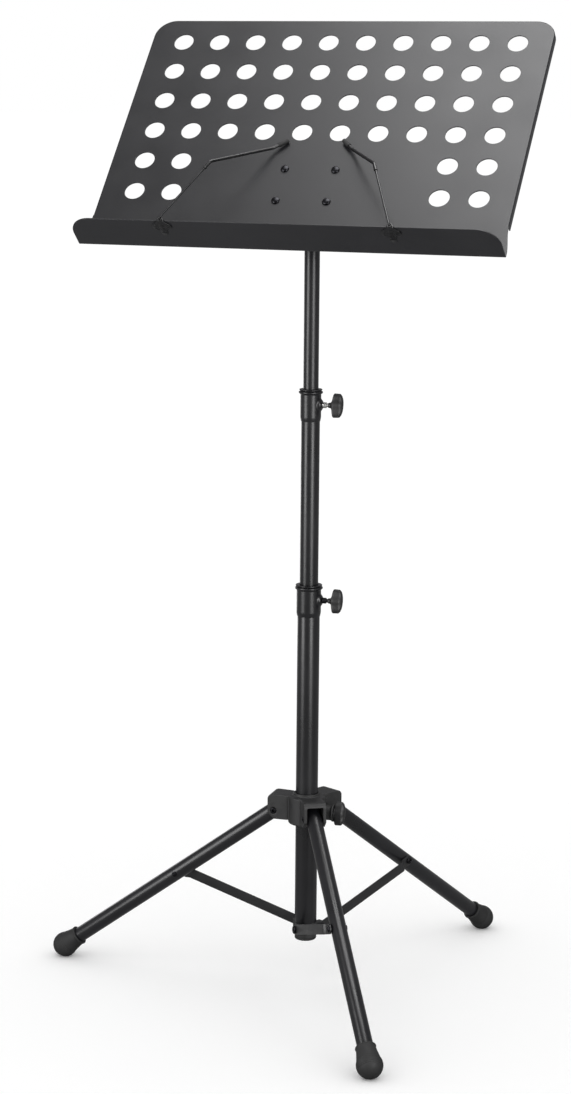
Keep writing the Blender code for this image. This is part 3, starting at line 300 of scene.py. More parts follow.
def add(tree, kind, settings=None, **links):
    """A node of a kind, with its settings, and links or values for its inputs by name."""
    node = tree.nodes.new("ShaderNode" + kind)
    for key, value in (settings or {}).items():
        setattr(node, key, value)
    for key, value in links.items():
        socket = node.inputs[int(key[1:])] if key[0] == "i" and key[1:].isdigit() else None
        socket = socket or node.inputs[key.replace("_", " ")]
        if isinstance(value, bpy.types.NodeSocket):
            tree.links.new(value, socket)
        else:
            socket.default_value = value
    return node


def ramp(tree, factor, stops):
    """A colour ramp from (place, colour or grey) stops."""
    node = add(tree, "ValToRGB", Fac=factor)
    elements = node.color_ramp.elements
    for i, (place, value) in enumerate(stops):
        element = elements[i] if i < 2 else elements.new(place)
        element.position = place
        element.color = linear(value) if isinstance(value, str) else (value, value, value, 1)
    return node.outputs["Color"]


def per_mm(size):
    """Scale of a pattern whose features are that many millimetres across."""
    return 1 / (size * MM)


def finish_of(name, colour, roughness, metallic=0.0, **extra):
    """A new material with its shader's constants set; returns it with its tree and shader."""
    mat = bpy.data.materials.new(name)
    mat.use_nodes = True
    tree = mat.node_tree
    shader = tree.nodes["Principled BSDF"]
    shader.inputs["Base Color"].default_value = linear(colour)
    shader.inputs["Roughness"].default_value = roughness
    shader.inputs["Metallic"].default_value = metallic
    for key, value in extra.items():
        shader.inputs[key.replace("_", " ")].default_value = value
    mat.diffuse_color = linear(colour)
    return mat, tree, shader


def surface(tree, shader, grain_mm, depth_mm, detail):
    """Bump from noise whose features are grain_mm across and depth_mm deep."""
    place = add(tree, "TexCoord").outputs["Object"]
    noise = add(tree, "TexNoise", Vector=place, Scale=per_mm(grain_mm), Detail=detail)
    bump = add(tree, "Bump", Height=noise.outputs["Fac"], Distance=depth_mm * MM, Strength=1.0)
    tree.links.new(bump.outputs["Normal"], shader.inputs["Normal"])
    return place


def varied(tree, shader, place, size_mm, colours, roughness):
    """Slow change of colour and roughness across a surface."""
    cloud = add(tree, "TexNoise", Vector=place, Scale=per_mm(size_mm), Detail=4.0)
    shade = cloud.outputs["Fac"]
    colour = ramp(tree, shade, [(0.3, colours[0]), (0.7, colours[1])])
    tree.links.new(colour, shader.inputs["Base Color"])
    low, high = roughness
    spread = add(tree, "MapRange", Value=shade, From_Min=0.3, From_Max=0.7, To_Min=low, To_Max=high)
    tree.links.new(spread.outputs["Result"], shader.inputs["Roughness"])


def grained(name, colour, roughness, grain, clouds, metallic=0.0, **extra):
    """A finish with a grain (size and depth in mm, detail) and clouds (size in mm, colours, roughness)."""
    mat, tree, shader = finish_of(name, colour, roughness, metallic, **extra)
    place = surface(tree, shader, *grain)
    varied(tree, shader, place, *clouds)
    return mat


def powder_coat():
    """Polyester powder coat on steel sheet, sprayed dry and baked.

    It gives a satin black skin with a very fine orange peel, a little lighter where it thins.
    """
    grain = (0.9, 0.012, 2.0)
    clouds = (60, ("#18181c", "#1d1d21"), (0.37, 0.43))
    return grained("satin_powder_coat", "#1a1a1e", 0.4, grain, clouds, IOR=1.5)


def tube_lacquer():
    """Stoved black enamel on drawn steel tube: smoother than the desk, so lights draw long streaks."""
    grain = (1.2, 0.006, 2.0)
    clouds = (45, ("#111114", "#17171b"), (0.26, 0.36))
    return grained("stoved_enamel", "#131316", 0.3, grain, clouds, IOR=1.5)


def strip_lacquer():
    """Dipped black enamel on punched steel strip, satin, with faint rolling marks along it."""
    grain = (0.8, 0.01, 3.0)
    clouds = (25, ("#1a1a1c", "#222224"), (0.32, 0.44))
    return grained("dipped_enamel", "#1c1c1e", 0.36, grain, clouds, IOR=1.5)


def cast_plastic():
    """Glass-filled nylon from a spark-eroded mould: a coarse matt grain that greys under light."""
    grain = (0.7, 0.05, 4.0)
    clouds = (9, ("#1a1a1a", "#252526"), (0.5, 0.64))
    return grained("grained_nylon", "#1d1d1e", 0.55, grain, clouds, IOR=1.53)


def knob_plastic():
    """Moulded ABS with a fine pebble, polished a little where fingers turn it."""
    grain = (0.6, 0.035, 3.0)
    clouds = (7, ("#131314", "#1d1d1e"), (0.42, 0.58))
    return grained("pebbled_abs", "#151516", 0.48, grain, clouds, IOR=1.53)


def rubber():
    """Compression-moulded natural rubber: matt, with a dusty bloom in places."""
    grain = (0.5, 0.03, 4.0)
    clouds = (14, ("#101011", "#1b1b1b"), (0.6, 0.8))
    return grained("moulded_rubber", "#131314", 0.7, grain, clouds, IOR=1.52)


def blacked_steel():
    """Black-oxide steel screws and rivets: dark metal with a soft oiled shine."""
    grain = (0.4, 0.008, 3.0)
    clouds = (3, ("#232325", "#343437"), (0.24, 0.38))
    return grained("black_oxide_steel", "#29292b", 0.3, grain, clouds, metallic=1.0)


def zinc_plate():
    """Bright zinc on turned steel, with a faint clouding of the plating."""
    grain = (0.3, 0.006, 3.0)
    clouds = (2.5, ("#bdbdba", "#d6d6d4"), (0.22, 0.36))
    return grained("zinc_plate", "#c9c9c6", 0.28, grain, clouds, metallic=1.0)


def wire_enamel():
    """Black enamel on spring wire, glossier than the sheet."""
    grain = (0.6, 0.005, 2.0)
    clouds = (20, ("#101012", "#171719"), (0.24, 0.36))
    return grained("enamelled_wire", "#121214", 0.28, grain, clouds, IOR=1.5)


POWDER = powder_coat()
ENAMEL = tube_lacquer()
STRIP = strip_lacquer()
NYLON = cast_plastic()
ABS = knob_plastic()
RUBBER = rubber()
BLACKED = blacked_steel()
ZINC = zinc_plate()
WIRE = wire_enamel()


# ---------------------------------------------------------------- shapes cut and joined

def shaped(base, adds=(), cuts=(), voxel=None, rounds=0, soft=None):
    """A bmesh from a base with others joined on and cut out.

    Each is (bmesh, placing matrix). voxel remakes the skin with cells of that size and rounds
    smooths it, which fillets each corner as casting does; soft bevels the sharp edges instead.
    """
    made = []

    def thing(item):
        bm, place = item if isinstance(item, tuple) else (item, Matrix())
        bmesh.ops.transform(bm, matrix=place, verts=bm.verts)
        bmesh.ops.recalc_face_normals(bm, faces=bm.faces)
        mesh = bpy.data.meshes.new("tool")
        bm.to_mesh(mesh)
        bm.free()
        obj = bpy.data.objects.new("tool", mesh)
        bpy.context.scene.collection.objects.link(obj)
        made.append(obj)
        return obj

    body = thing(base)
    for operation, items in (("UNION", adds), ("DIFFERENCE", cuts)):
        for item in items:
            modifier = body.modifiers.new("cut", "BOOLEAN")
            modifier.object = thing(item)
            modifier.operation = operation
            modifier.solver = "EXACT"
    if voxel:
        modifier = body.modifiers.new("skin", "REMESH")
        modifier.mode = "VOXEL"
        modifier.voxel_size = voxel
        modifier = body.modifiers.new("fillet", "SMOOTH")
        modifier.factor = 0.5
        modifier.iterations = rounds
    if soft:
        modifier = body.modifiers.new("edges", "BEVEL")
        modifier.width = soft
        modifier.segments = 2
        modifier.limit_method = "ANGLE"
        modifier.angle_limit = math.radians(35)
        modifier.harden_normals = False
    bpy.context.view_layer.update()
    graph = bpy.context.evaluated_depsgraph_get()
    mesh = bpy.data.meshes.new_from_object(body.evaluated_get(graph))
    whole = bmesh.new()
    whole.from_mesh(mesh)
    bpy.data.meshes.remove(mesh)
    for obj in made:
        mesh = obj.data
        bpy.data.objects.remove(obj)
        bpy.data.meshes.remove(mesh)
    return whole


def rod(radius, low, high, sides=FINE):
    return turned([(0, high), (radius, high), (radius, low), (0, low)], sides)


def block(low, high):
    """A box from its low and high corners."""
    x0, y0, z0 = low
    x1, y1, z1 = high
    return prism([(x0, y0), (x1, y0), (x1, y1), (x0, y1)], z0, z1)


def rounded_rectangle(width, height, radius, steps=6):
    points = []
    for quarter, (sx, sy) in enumerate(((1, 1), (-1, 1), (-1, -1), (1, -1))):
        centre = (sx * (width / 2 - radius), sy * (height / 2 - radius))
        points += arc(centre, radius, 90 * quarter, 90 * quarter + 90, steps)
    return points


def hexagon(across_flats):
    radius = across_flats / math.sqrt(3)
    return [(radius * math.cos(math.tau * k / 6), radius * math.sin(math.tau * k / 6)) for k in range(6)]


def turned_to(axis):
    """Matrix that turns +Z onto an axis."""
    return Vector(axis).to_track_quat("Z", "Y").to_matrix().to_4x4()


def moved(x=0, y=0, z=0):
    return Matrix.Translation((x, y, z))


ON_EDGE = Matrix.Rotation(math.pi / 2, 4, "X")  # an outline in x and y, stood up in x and z
SIDE_ON = Matrix.Rotation(math.pi / 2, 4, "Z") @ ON_EDGE  # stood up in y and z


# ---------------------------------------------------------------- mast

EDGE = 0.35 * MM  # rounding of a cut tube's end
WING_TILT = math.radians(-14)  # the clamps' wings, turned about their screws


def inner_radius(node, place):
    points = local_points(node, place)
    return float(np.hypot(points[:, 0], points[:, 1]).min())


def tube(name, node, body, place, mat=ENAMEL):
    """A drawn tube with slightly rounded ends, in the frame whose +Z is its axis."""
    low, high = span(node, place)
    outer = max(high.x, high.y)
    bore = inner_radius(node, place)
    profile = [(bore, high.z), (outer, high.z), (outer, low.z), (bore, low.z)]
    bm = turned(softened(profile, EDGE))
    return finished(name, bm, body, mat, [node], place)


def clamp_collar(name, node, body, joint):
    """Pressed steel collar: a rolled lip, a plastic bush showing over it, and a flared boss."""
    place = Matrix.Translation(MAST)
    low, high = span(node, place)
    at, axis = joint_place(joint)
    azimuth = math.atan2(axis.y, axis.x)
    rim = -low.x
    bore = inner_radius(node, place)
    wall = rim - 2 * MM
    lip = high.z - 6.2 * MM
    boss_out = 2.2 * MM
    boss_in, boss_foot = 3.9 * MM, 8.5 * MM

    def flared(r, z, a):
        if r < wall - 1.5 * MM or z > lip - 1 * MM:
            return r
        turn = (a - azimuth + math.pi) % math.tau - math.pi
        far = math.hypot(turn * r, z - at.z)
        if abs(turn) > 1.2 or far > boss_foot:
            return r
        flat = (wall + boss_out) / max(math.cos(turn), 0.5)
        return r + (flat - r) * ease((boss_foot - far) / (boss_foot - boss_in))

    outer = [(bore, high.z - 0.2 * MM), (bore + 0.4 * MM, high.z), (rim - 1.4 * MM, high.z)]
    outer += arc((rim - 1.4 * MM, high.z - 0.7 * MM), 0.7 * MM, 90, -60, 5)
    outer += arc((rim - 1.9 * MM, high.z - 1.6 * MM), 0.35 * MM, 60, -60, 3)
    outer += arc((rim - 1.5 * MM, high.z - 3.9 * MM), 1.5 * MM, 75, -75, 8)
    outer += [(wall + 0.25 * MM, lip + 0.4 * MM)]
    steps = 34
    top, bottom = lip, low.z + 5 * MM
    outer += [(wall, top + (bottom - top) * i / steps) for i in range(steps + 1)]
    outer += [(wall - 0.15 * MM, bottom - 1.2 * MM), (wall - 0.75 * MM, low.z + 0.5 * MM)]
    outer += [(wall - 0.95 * MM, low.z)]
    bm = turned(outer + [(bore + (wall - bore) * 0.4, low.z), (bore, high.z - 5 * MM)], 96, flared)
    finished(name, bm, body, ENAMEL, [node], place, angle=40)


def clamp_screw(name, node, body, joint, mat, nut):
    """Clamp screw with a short nut at the collar, thread showing, and the knob's neck on it."""
    at, axis = joint_place(joint)
    place = along(at, axis, (0, 0, 1))
    low, high = span(node, place)
    r = max(high.x, high.y)
    neck = high.z - 10.1 * MM
    shoulder = neck - nut
    core = r * 0.72
    thread = []
    z = low.z
    pitch = 0.8 * MM
    while z < shoulder - pitch:
        thread += [(core, z), (core - 0.3 * MM, z + pitch / 2)]
        z += pitch
    profile = [(0, high.z), (2.2 * MM, high.z), (2.2 * MM, neck)]
    barrel = [(2.2 * MM, neck), (r, neck), (r, shoulder), (core, shoulder)]
    profile += softened(barrel, 0.5 * MM, closed=False)
    profile += thread[::-1] + [(core * 0.7, low.z), (0, low.z)]
    finished(name, turned(profile, SMALL), body, mat, [node], place, angle=40)


def stadium(angle, tall, wide):
    """Polar radius of a wing's outline: a bar with round ends, blended with a round middle."""
    c, s = abs(math.cos(angle)), abs(math.sin(angle))
    end = wide * 0.78
    reach = tall - end
    # the side of the bar, then its round end
    if c > 1e-6 and (end / c) * s <= reach:
        bar = end / c
    else:
        bar = reach * s + math.sqrt(max(end * end - (reach * c) ** 2, 0))
    middle_round = wide * 1.02
    sharp = 6
    return (bar ** sharp + middle_round ** sharp) ** (1 / sharp) if tall > wide else (tall + wide) / 2


def wing_knob(name, node, body, joint, wings=None):
    """Moulded wing knob: round neck, short cone, two wings with a flat rim, and a domed face."""
    at, axis = joint_place(joint)
    wings = wings or Matrix.Rotation(WING_TILT, 3, axis) @ Vector((0, 0, 1))
    place = basis(at, axis, wings.cross(axis).normalized(), wings)
    low, high = span(node, place)
    tall, wide = high.z, high.y
    start, length = low.x, high.x - low.x
    # along the screw, how far wings take over from the round neck, and shares of height and width
    sections = [
        (0.0, 0.0, 0.20, 0.42), (0.02, 0.0, 0.21, 0.46), (0.12, 0.0, 0.23, 0.5),
        (0.19, 0.15, 0.28, 0.62), (0.25, 0.5, 0.46, 0.8), (0.29, 0.85, 0.76, 0.9),
        (0.32, 1.0, 0.92, 0.95), (0.345, 1.0, 0.97, 0.98), (0.37, 1.0, 0.992, 1.0),
        (0.4, 1.0, 1.0, 1.0), (0.72, 1.0, 0.985, 0.99), (0.76, 1.0, 0.972, 0.975),
        (0.79, 1.0, 0.94, 0.93), (0.86, 1.0, 0.84, 0.82), (0.92, 1.0, 0.67, 0.64),
        (0.965, 1.0, 0.44, 0.42), (0.99, 1.0, 0.22, 0.2),
    ]
    bm = bmesh.new()
    sides = 64
    rings = []
    for t, wing, a, b in sections:
        top = stadium(math.pi / 2, tall * a, wide * b)
        ring = []
        for k in range(sides):
            angle = math.tau * k / sides
            winged = stadium(angle, tall * a, wide * b) * tall * a / top
            r = winged * wing + tall * a * (1 - wing)
            ring.append(bm.verts.new((start + length * t, r * math.cos(angle), r * math.sin(angle))))
        rings.append(ring)
    for one, two in zip(rings, rings[1:]):
        for k in range(sides):
            n = (k + 1) % sides
            bm.faces.new((one[k], one[n], two[n], two[k]))
    for ring, x in ((rings[0], start), (rings[-1], start + length)):
        tip = bm.verts.new((x, 0, 0))
        for k in range(sides):
            bm.faces.new((ring[k], ring[(k + 1) % sides], tip))
    finished(name, bm, body, ABS, [node], place, angle=50)


def mast():
    upright_mast = Matrix.Translation(MAST)
    tube("lower_mast_tube", "lower_tube", "lower_mast", upright_mast)
    tube("middle_mast_tube", "middle_tube", "middle_mast", upright_mast)
    tube("upper_mast_tube", "upper_tube", "upper_mast", upright_mast)
    clamp_collar("lower_clamp_collar", "lower_collar", "lower_mast", "lower_clamp_turn")
    clamp_collar("upper_clamp_collar", "upper_collar", "middle_mast", "upper_clamp_turn")
    long_nut, short_nut = 4.6 * MM, 0.8 * MM
    screws = (
        ("upper_collar_screw", "upper", ZINC, "bright_steel", long_nut),
        ("lower_collar_screw", "lower", BLACKED, "blacked_steel", long_nut),
        ("hub_screw", "hub", BLACKED, "blacked_steel", short_nut),
    )
    for name, where, mat, slot_name, nut in screws:
        clamp = where + "_clamp"
        clamp_screw(name, clamp + "_screw", clamp, clamp + "_turn", mat, nut)
    for where in ("upper", "lower", "hub"):
        wing_knob(where + "_wing_knob", where + "_clamp_knob", where + "_clamp", where + "_clamp_turn")
    for node in ("middle_glide", "upper_glide"):
        frame["nodes"][node].material_slots[0].material = NYLON


# ---------------------------------------------------------------- base

def hub():
    """Nylon hub: a barrel with three bridged clevises, filleted as a moulding is."""
    at, axis = joint_place("hub_clamp_turn")
    place = upright(at, axis)
    low, high = span("hub", place)
    top, foot = high.z, low.z + 0.4 * MM
    pivot_out = (joint_place("leg_left_fold")[0] - at).xy.length
    reach = pivot_out + 8 * MM
    barrel = 22.3 * MM
    slot_out = 23.2 * MM
    slot = 9.7 * MM  # half width of a leg's slot
    cheek = slot + 4.2 * MM
    drop = -10.2 * MM
    side_view = [(4 * MM, top - 5 * MM), (20 * MM, top - 4.6 * MM), (reach - 8 * MM, top - 4 * MM)]
    side_view += arc((reach - 7 * MM, top - 10.6 * MM), 6.6 * MM, 80, 5, 5)
    side_view += [(reach - 0.4 * MM, -3 * MM), (reach - 8 * MM, drop), (4 * MM, drop)]
    slot_end = reach + 9 * MM
    slot_view = [(slot_out, 15 * MM), (slot_end, 15 * MM), (slot_end, -30 * MM), (slot_out, -30 * MM)]
    adds, cuts = [], []
    for leg in LEGS:
        out = joint_place("leg_" + leg + "_fold")[0] - at
        turn = Matrix.Rotation(math.atan2(out.y, out.x) - math.atan2(axis.y, axis.x), 4, "Z")
        adds.append((prism(side_view, -cheek + 0.3 * MM, cheek - 0.3 * MM), turn @ ON_EDGE))
        cuts.append((prism(slot_view, -slot, slot), turn @ ON_EDGE))
        cuts.append((rod(3.9 * MM, -30 * MM, 30 * MM, SMALL), turn @ moved(pivot_out) @ ON_EDGE))
        for edge in (-cheek, cheek):
            cuts.append((rod(1.4 * MM, foot - 3 * MM, top + 3 * MM, 16), turn @ moved(19.1 * MM, edge)))
    end = high.x - 0.1 * MM if high.x < pivot_out else 26.9 * MM
    boss = [(0, end), (10.4 * MM, end), (10.4 * MM, end - 2.4 * MM), (9 * MM, end - 3.2 * MM)]
    boss = softened(boss + [(9 * MM, 15 * MM), (0, 15 * MM)], 0.6 * MM, closed=False)
    adds.append((turned(boss), turned_to((1, 0, 0))))
    ring = [(16 * MM, top - 4.4 * MM), (16.2 * MM, top - 2 * MM), (15.6 * MM, top - 1.5 * MM)]
    ring += [(12 * MM, top - 1.5 * MM), (12 * MM, foot)]
    ring += [(barrel - 1 * MM, foot), (barrel, foot + 1.4 * MM), (barrel, top - 5.8 * MM)]
    cuts.append((rod(13.6 * MM, -60 * MM, 60 * MM), Matrix()))
    cuts.append((rod(3 * MM, 10 * MM, 40 * MM, SMALL), turned_to((1, 0, 0))))
    bm = shaped(turned(ring), adds, cuts, voxel=0.55 * MM, rounds=4)
    finished("leg_hub", bm, "hub", NYLON, ["hub"], place, angle=180)
    for leg in LEGS:
        leg_bolt(leg, cheek)


def leg_bolt(leg, cheek):
    """Socket-head bolt through a clevis, a hexagon socket in each end."""
    at, axis = joint_place("leg_" + leg + "_fold")
    place = along(at, -axis, (0, 0, 1))
    end = cheek + 0.2 * MM
    pin = softened([(0, end), (3.4 * MM, end), (3.4 * MM, -end), (0, -end)], 0.5 * MM, closed=False)
    sockets = [prism(hexagon(3.2 * MM), side * cheek - 2.2 * MM, side * cheek + 2.2 * MM) for side in (1, -1)]
    bm = shaped(turned(pin, SMALL), cuts=sockets)
    finished("hub_bolt_" + leg, bm, "hub", BLACKED, ["leg_bolt_" + leg], place, angle=35)


def leg_place(leg):
    """Frame of a leg: origin on its pivot, +Z up the tube, +Y on the fold's axis."""
    at, axis = joint_place("leg_" + leg + "_fold")
    up = long_axis("leg_" + leg)
    up = up if up.z > 0 else -up
    return basis(at, axis.cross(up).normalized(), axis, up)


def boot(leg, place):
    """Rubber boot: beaded sleeve flaring into a ball, fine ribs round its waist, a flat worn sole."""
    rim = span("foot_" + leg, place)[1].z
    centre = rim - 24 * MM
    ball = 15.35 * MM
    bore, sleeve, inside = 9.4 * MM, 11.5 * MM, centre + 8.6 * MM
    profile = [(0, inside), (bore, inside), (bore, rim - 0.4 * MM), (bore + 0.4 * MM, rim)]
    profile += arc((sleeve - 0.5 * MM, rim - 1.1 * MM), 1.1 * MM, 80, -60, 6)
    start, waist = (sleeve, rim - 3 * MM), (ball * math.cos(0.42), centre + ball * math.sin(0.42))
    for i in range(9):
        t = i / 8
        profile.append((start[0] + (waist[0] - start[0]) * t ** 1.35, start[1] + (waist[1] - start[1]) * t))
    for i in range(6):
        for lift, radius in ((21, ball - 0.35 * MM), (18.5, ball), (16, ball)):
            a = math.radians(lift - 7.5 * i)
            profile.append((radius * math.cos(a), centre + radius * math.sin(a)))
    profile += arc((0, centre), ball, -26, -88, 10) + [(0, centre - ball)]
    bm = turned(profile)
    bmesh.ops.transform(bm, matrix=place, verts=bm.verts)
    geom = bm.verts[:] + bm.edges[:] + bm.faces[:]
    floor = {"plane_co": (0, 0, 0.02 * MM), "plane_no": (0, 0, -1)}
    cut = bmesh.ops.bisect_plane(bm, geom=geom, clear_outer=True, **floor)
    rim_edges = [e for e in cut["geom_cut"] if isinstance(e, bmesh.types.BMEdge)]
    bmesh.ops.edgenet_fill(bm, edges=rim_edges)
    finished("boot_" + leg, bm, "leg_" + leg, RUBBER, ["foot_" + leg], angle=38)


def ring_rivet(outer, height, hole):
    """Head of a semi-tubular rivet above z = 0: a rolled ring round its hole."""
    points = [(0, -1.5 * MM), (hole, -1.5 * MM), (hole, height - 0.5 * MM)]
    points += arc(((outer + hole) / 2, height - (outer - hole) / 2), (outer - hole) / 2, 150, 0, 8)
    return points + [(outer, 0.1 * MM), (outer - 0.2 * MM, 0)]


def legs():
    for leg in LEGS:
        place = leg_place(leg)
        body = "leg_" + leg
        tube("leg_tube_" + leg, "leg_" + leg, body, place)
        boot(leg, place)
        low, high = span("leg_pin_" + leg, place)
        skin = 9.3 * MM  # the tube's surface from its axis
        end = low.y - skin
        pin = dome(3.3 * MM, 0.75 * MM, edge=0.5) + [(2.4 * MM, 0), (2.4 * MM, end), (0, end)]
        seat = place @ moved(0, skin, (low.z + high.z) / 2) @ turned_to((0, 1, 0))
        rivet = turned(pin, SMALL)
        finished("leg_rivet_" + leg, rivet, body, BLACKED, ["leg_pin_" + leg], seat)


def brace_place(leg):
    """Frame of a brace: origin on its pivot, +Z out to the leg, -Y to its outer face."""
    at, axis = joint_place("brace_" + leg + "_fold")
    out = long_axis("brace_" + leg)
    away = Vector((at.x - MAST.x, at.y - MAST.y, 0))
    out = out if out.dot(away) > 0 else -out
    out = (out - axis * out.dot(axis)).normalized()
    return basis(at, axis.cross(out).normalized(), axis, out)


def rivet_head(kind, leg, profile, body, seat):
    """A turned rivet that stands for the node of its kind at one leg."""
    bm = turned(profile, SMALL)
    node = f"{kind}_{leg}"
    finished(f"{kind}_head_{leg}", bm, body, BLACKED, [node], seat, angle=40)


def brace(leg):
    """Punched steel strip with rounded ends, joggled so that its tab lies on the leg's side."""
    place = brace_place(leg)
    low, high = span("brace_" + leg, place)
    half = 6 * MM
    length = high.z - half
    thick = 2 * MM
    face = low.y + thick
    step = high.y - face
    outline = arc((0, 0), half, 180, 360, 16) + arc((0, length), half, 0, 180, 16)
    bm = prism(outline, 0, thick, 0.35 * MM)
    flat, run = length - 9 * MM, 6 * MM
    for i in range(11):
        geom = bm.verts[:] + bm.edges[:] + bm.faces[:]
        crease = (0, flat - run * i / 10, 0)
        bmesh.ops.bisect_plane(bm, geom=geom, plane_co=crease, plane_no=(0, 1, 0), dist=1e-6)
    for v in bm.verts:
        x, z, t = v.co
        share = ease((z - flat + run) / run)
        v.co = (x, face - t + step * share, z)
    body = "brace_" + leg
    finished("brace_strip_" + leg, bm, body, STRIP, [body], place, angle=35)
    tab = high.y - thick
    head = ring_rivet(4.1 * MM, 2.1 * MM, 1.7 * MM)
    shank = [(2.5 * MM, 0), (2.5 * MM, -2 * MM), (0, -2 * MM)]
    seat = place @ moved(0, tab, length) @ turned_to((0, -1, 0))
    rivet_head("brace_rivet", leg, head + shank, body, seat)
    crown = dome(5.1 * MM, 3.3 * MM) + [(2.4 * MM, 0), (2.4 * MM, -6 * MM), (0, -6 * MM)]
    seat = place @ moved(0, face - thick - 0.15 * MM, 0) @ turned_to((0, -1, 0))
    rivet_head("collar_rivet", leg, crown, "lower_mast", seat)


def mast_foot():
    """Moulded collar under the mast with an ear for each brace, and the cap below it."""
    place = Matrix.Translation(MAST)
    low = span("strap_collar", place)[0]
    tube_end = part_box("lower_tube")[0].z - 0.3 * MM
    spigot_end = tube_end + 6 * MM
    ring = [(0, spigot_end), (11.7 * MM, spigot_end), (11.7 * MM, tube_end)]
    ring += [(13.2 * MM, tube_end), (13.2 * MM, low.z), (0, low.z)]
    adds = []
    for leg in LEGS:
        at = joint_place("brace_" + leg + "_fold")[0]
        low_corner = (2 * MM, -13.4 * MM, at.z - 6.3 * MM)
        high_corner = (17.8 * MM, -5.5 * MM, tube_end - 0.1 * MM)
        adds.append((block(low_corner, high_corner), upright(Vector(), at - MAST)))
    bm = shaped(turned(ring), adds, voxel=0.5 * MM, rounds=4)
    finished("brace_collar", bm, "lower_mast", NYLON, ["strap_collar"], place, angle=180)
    plug_low, plug_high = span("mast_plug", place)
    r = plug_high.x
    top = low.z - 0.1 * MM
    cap = [(0, top), (r - 0.3 * MM, top), (r - 0.1 * MM, top - 0.3 * MM)]
    cap += arc((r - 2.1 * MM, top - 1.1 * MM), 2 * MM, 0, -88, 8) + [(0, plug_low.z)]
    finished("mast_cap", turned(cap), "lower_mast", RUBBER, ["mast_plug"], place, angle=40)


# ---------------------------------------------------------------- desk

SHEET = 1.5 * MM
FOLD = 1.8 * MM  # outside radius of the folded rim
INSIDE_BEND = 2 * MM  # inside radius of the bend at the shelf
PANEL_LOW, PANEL_HIGH = span("desk_panel", DESK)
FACE = (DESK.inverted() @ Vector(MOUNTS["page_face"]["pos_m"])).y
HOLE_PITCH = 46.3 * MM
HOLE_RADIUS = 12.1 * MM
BEND = math.pi / 2 * (INSIDE_BEND + SHEET / 2)
BEND_START = PANEL_LOW.z + SHEET + INSIDE_BEND


def edge_profile(flanged):
    """From the front face's rim to the back face's: distances in from the outline, and depths."""
    if flanged:
        deep = PANEL_HIGH.y - FACE
        points = [(FOLD - x, FOLD - y) for x, y in arc((0, 0), FOLD, 90, 0, 6)]
        points += [(0.3 * MM - x, deep - 0.3 * MM + y) for x, y in arc((0, 0), 0.3 * MM, 0, 90, 2)]
        points += [(SHEET - 0.3 * MM + x, deep - 0.3 * MM + y) for x, y in arc((0, 0), 0.3 * MM, 90, 0, 2)]
        points += [(SHEET, SHEET + 0.7 * MM), (SHEET + 0.2 * MM, SHEET + 0.2 * MM)]
        return points + [(SHEET + 0.8 * MM, SHEET)]
    r = 0.4 * MM
    points = [(r - x, r - y) for x, y in arc((0, 0), r, 90, 0, 6)]
    points += [(r - x, SHEET - r + y) for x, y in arc((0, 0), r, 0, 90, 5)]
    return points + [(0.5 * MM, SHEET), (0.6 * MM, SHEET), (0.8 * MM, SHEET)]


def desk_outline():
    """The panel's blank as (x, distance up the sheet, flanged), anticlockwise from the shelf."""
    above = [abs(v[0]) for v in (node_points("desk_panel") - np.array(DESK.translation)) if v[2] > 0]
    half = max(above)
    wide = PANEL_HIGH.x
    top = PANEL_HIGH.z - BEND_START
    front = -BEND - (FACE - INSIDE_BEND - PANEL_LOW.y)
    flare = 43 * MM - SHEET - INSIDE_BEND
    corner, shelf_corner = 25 * MM, 27 * MM
    right = [(x, s, 0) for x, s in arc((wide - shelf_corner, front + shelf_corner), shelf_corner, -90, 0, 16)]
    right.append((wide, -BEND, 0))
    right += [(wide + (half - wide) * ease(i / 8), flare * i / 8, 0) for i in range(1, 9)]
    right.append((half, flare + 1.6 * MM, 1))
    right += [(half, flare + (top - corner - flare) * i / 5, 1) for i in range(1, 5)]
    right += [(x, s, 1) for x, s in arc((half - corner, top - corner), corner, 0, 90, 16)]
    return right + [(-x, s, f) for x, s, f in reversed(right)]


def hole_centres():
    """Rows of ten holes; the two lowest rows keep only the pair at each end, beside the bracket."""
    top_row = PANEL_HIGH.z - 35.2 * MM
    return [
        ((i - 4.5) * HOLE_PITCH, top_row - j * HOLE_PITCH)
        for j in range(6) for i in range(10) if j < 4 or min(i, 9 - i) < 2
    ]


def screw_places():
    places = []
    for i in (1, 2, 3, 4):
        centre = DESK.inverted() @ middle(f"desk_screw_{i}")
        places.append((centre.x, centre.z))
    return places


def fold_sheet(bm):
    """Bends the flat blank at the shelf: (x, depth, distance up the sheet) to the desk's frame."""
    for v in bm.verts:
        x, thick, s = v.co
        if s >= 0:
            v.co = (x, FACE + thick, BEND_START + s)
            continue
        turn = min(-s / BEND, 1) * math.pi / 2
        beyond = max(-s - BEND, 0)
        radius = INSIDE_BEND + thick
        depth = FACE - INSIDE_BEND + radius * math.cos(turn) - beyond
        v.co = (x, depth, BEND_START - radius * math.sin(turn))


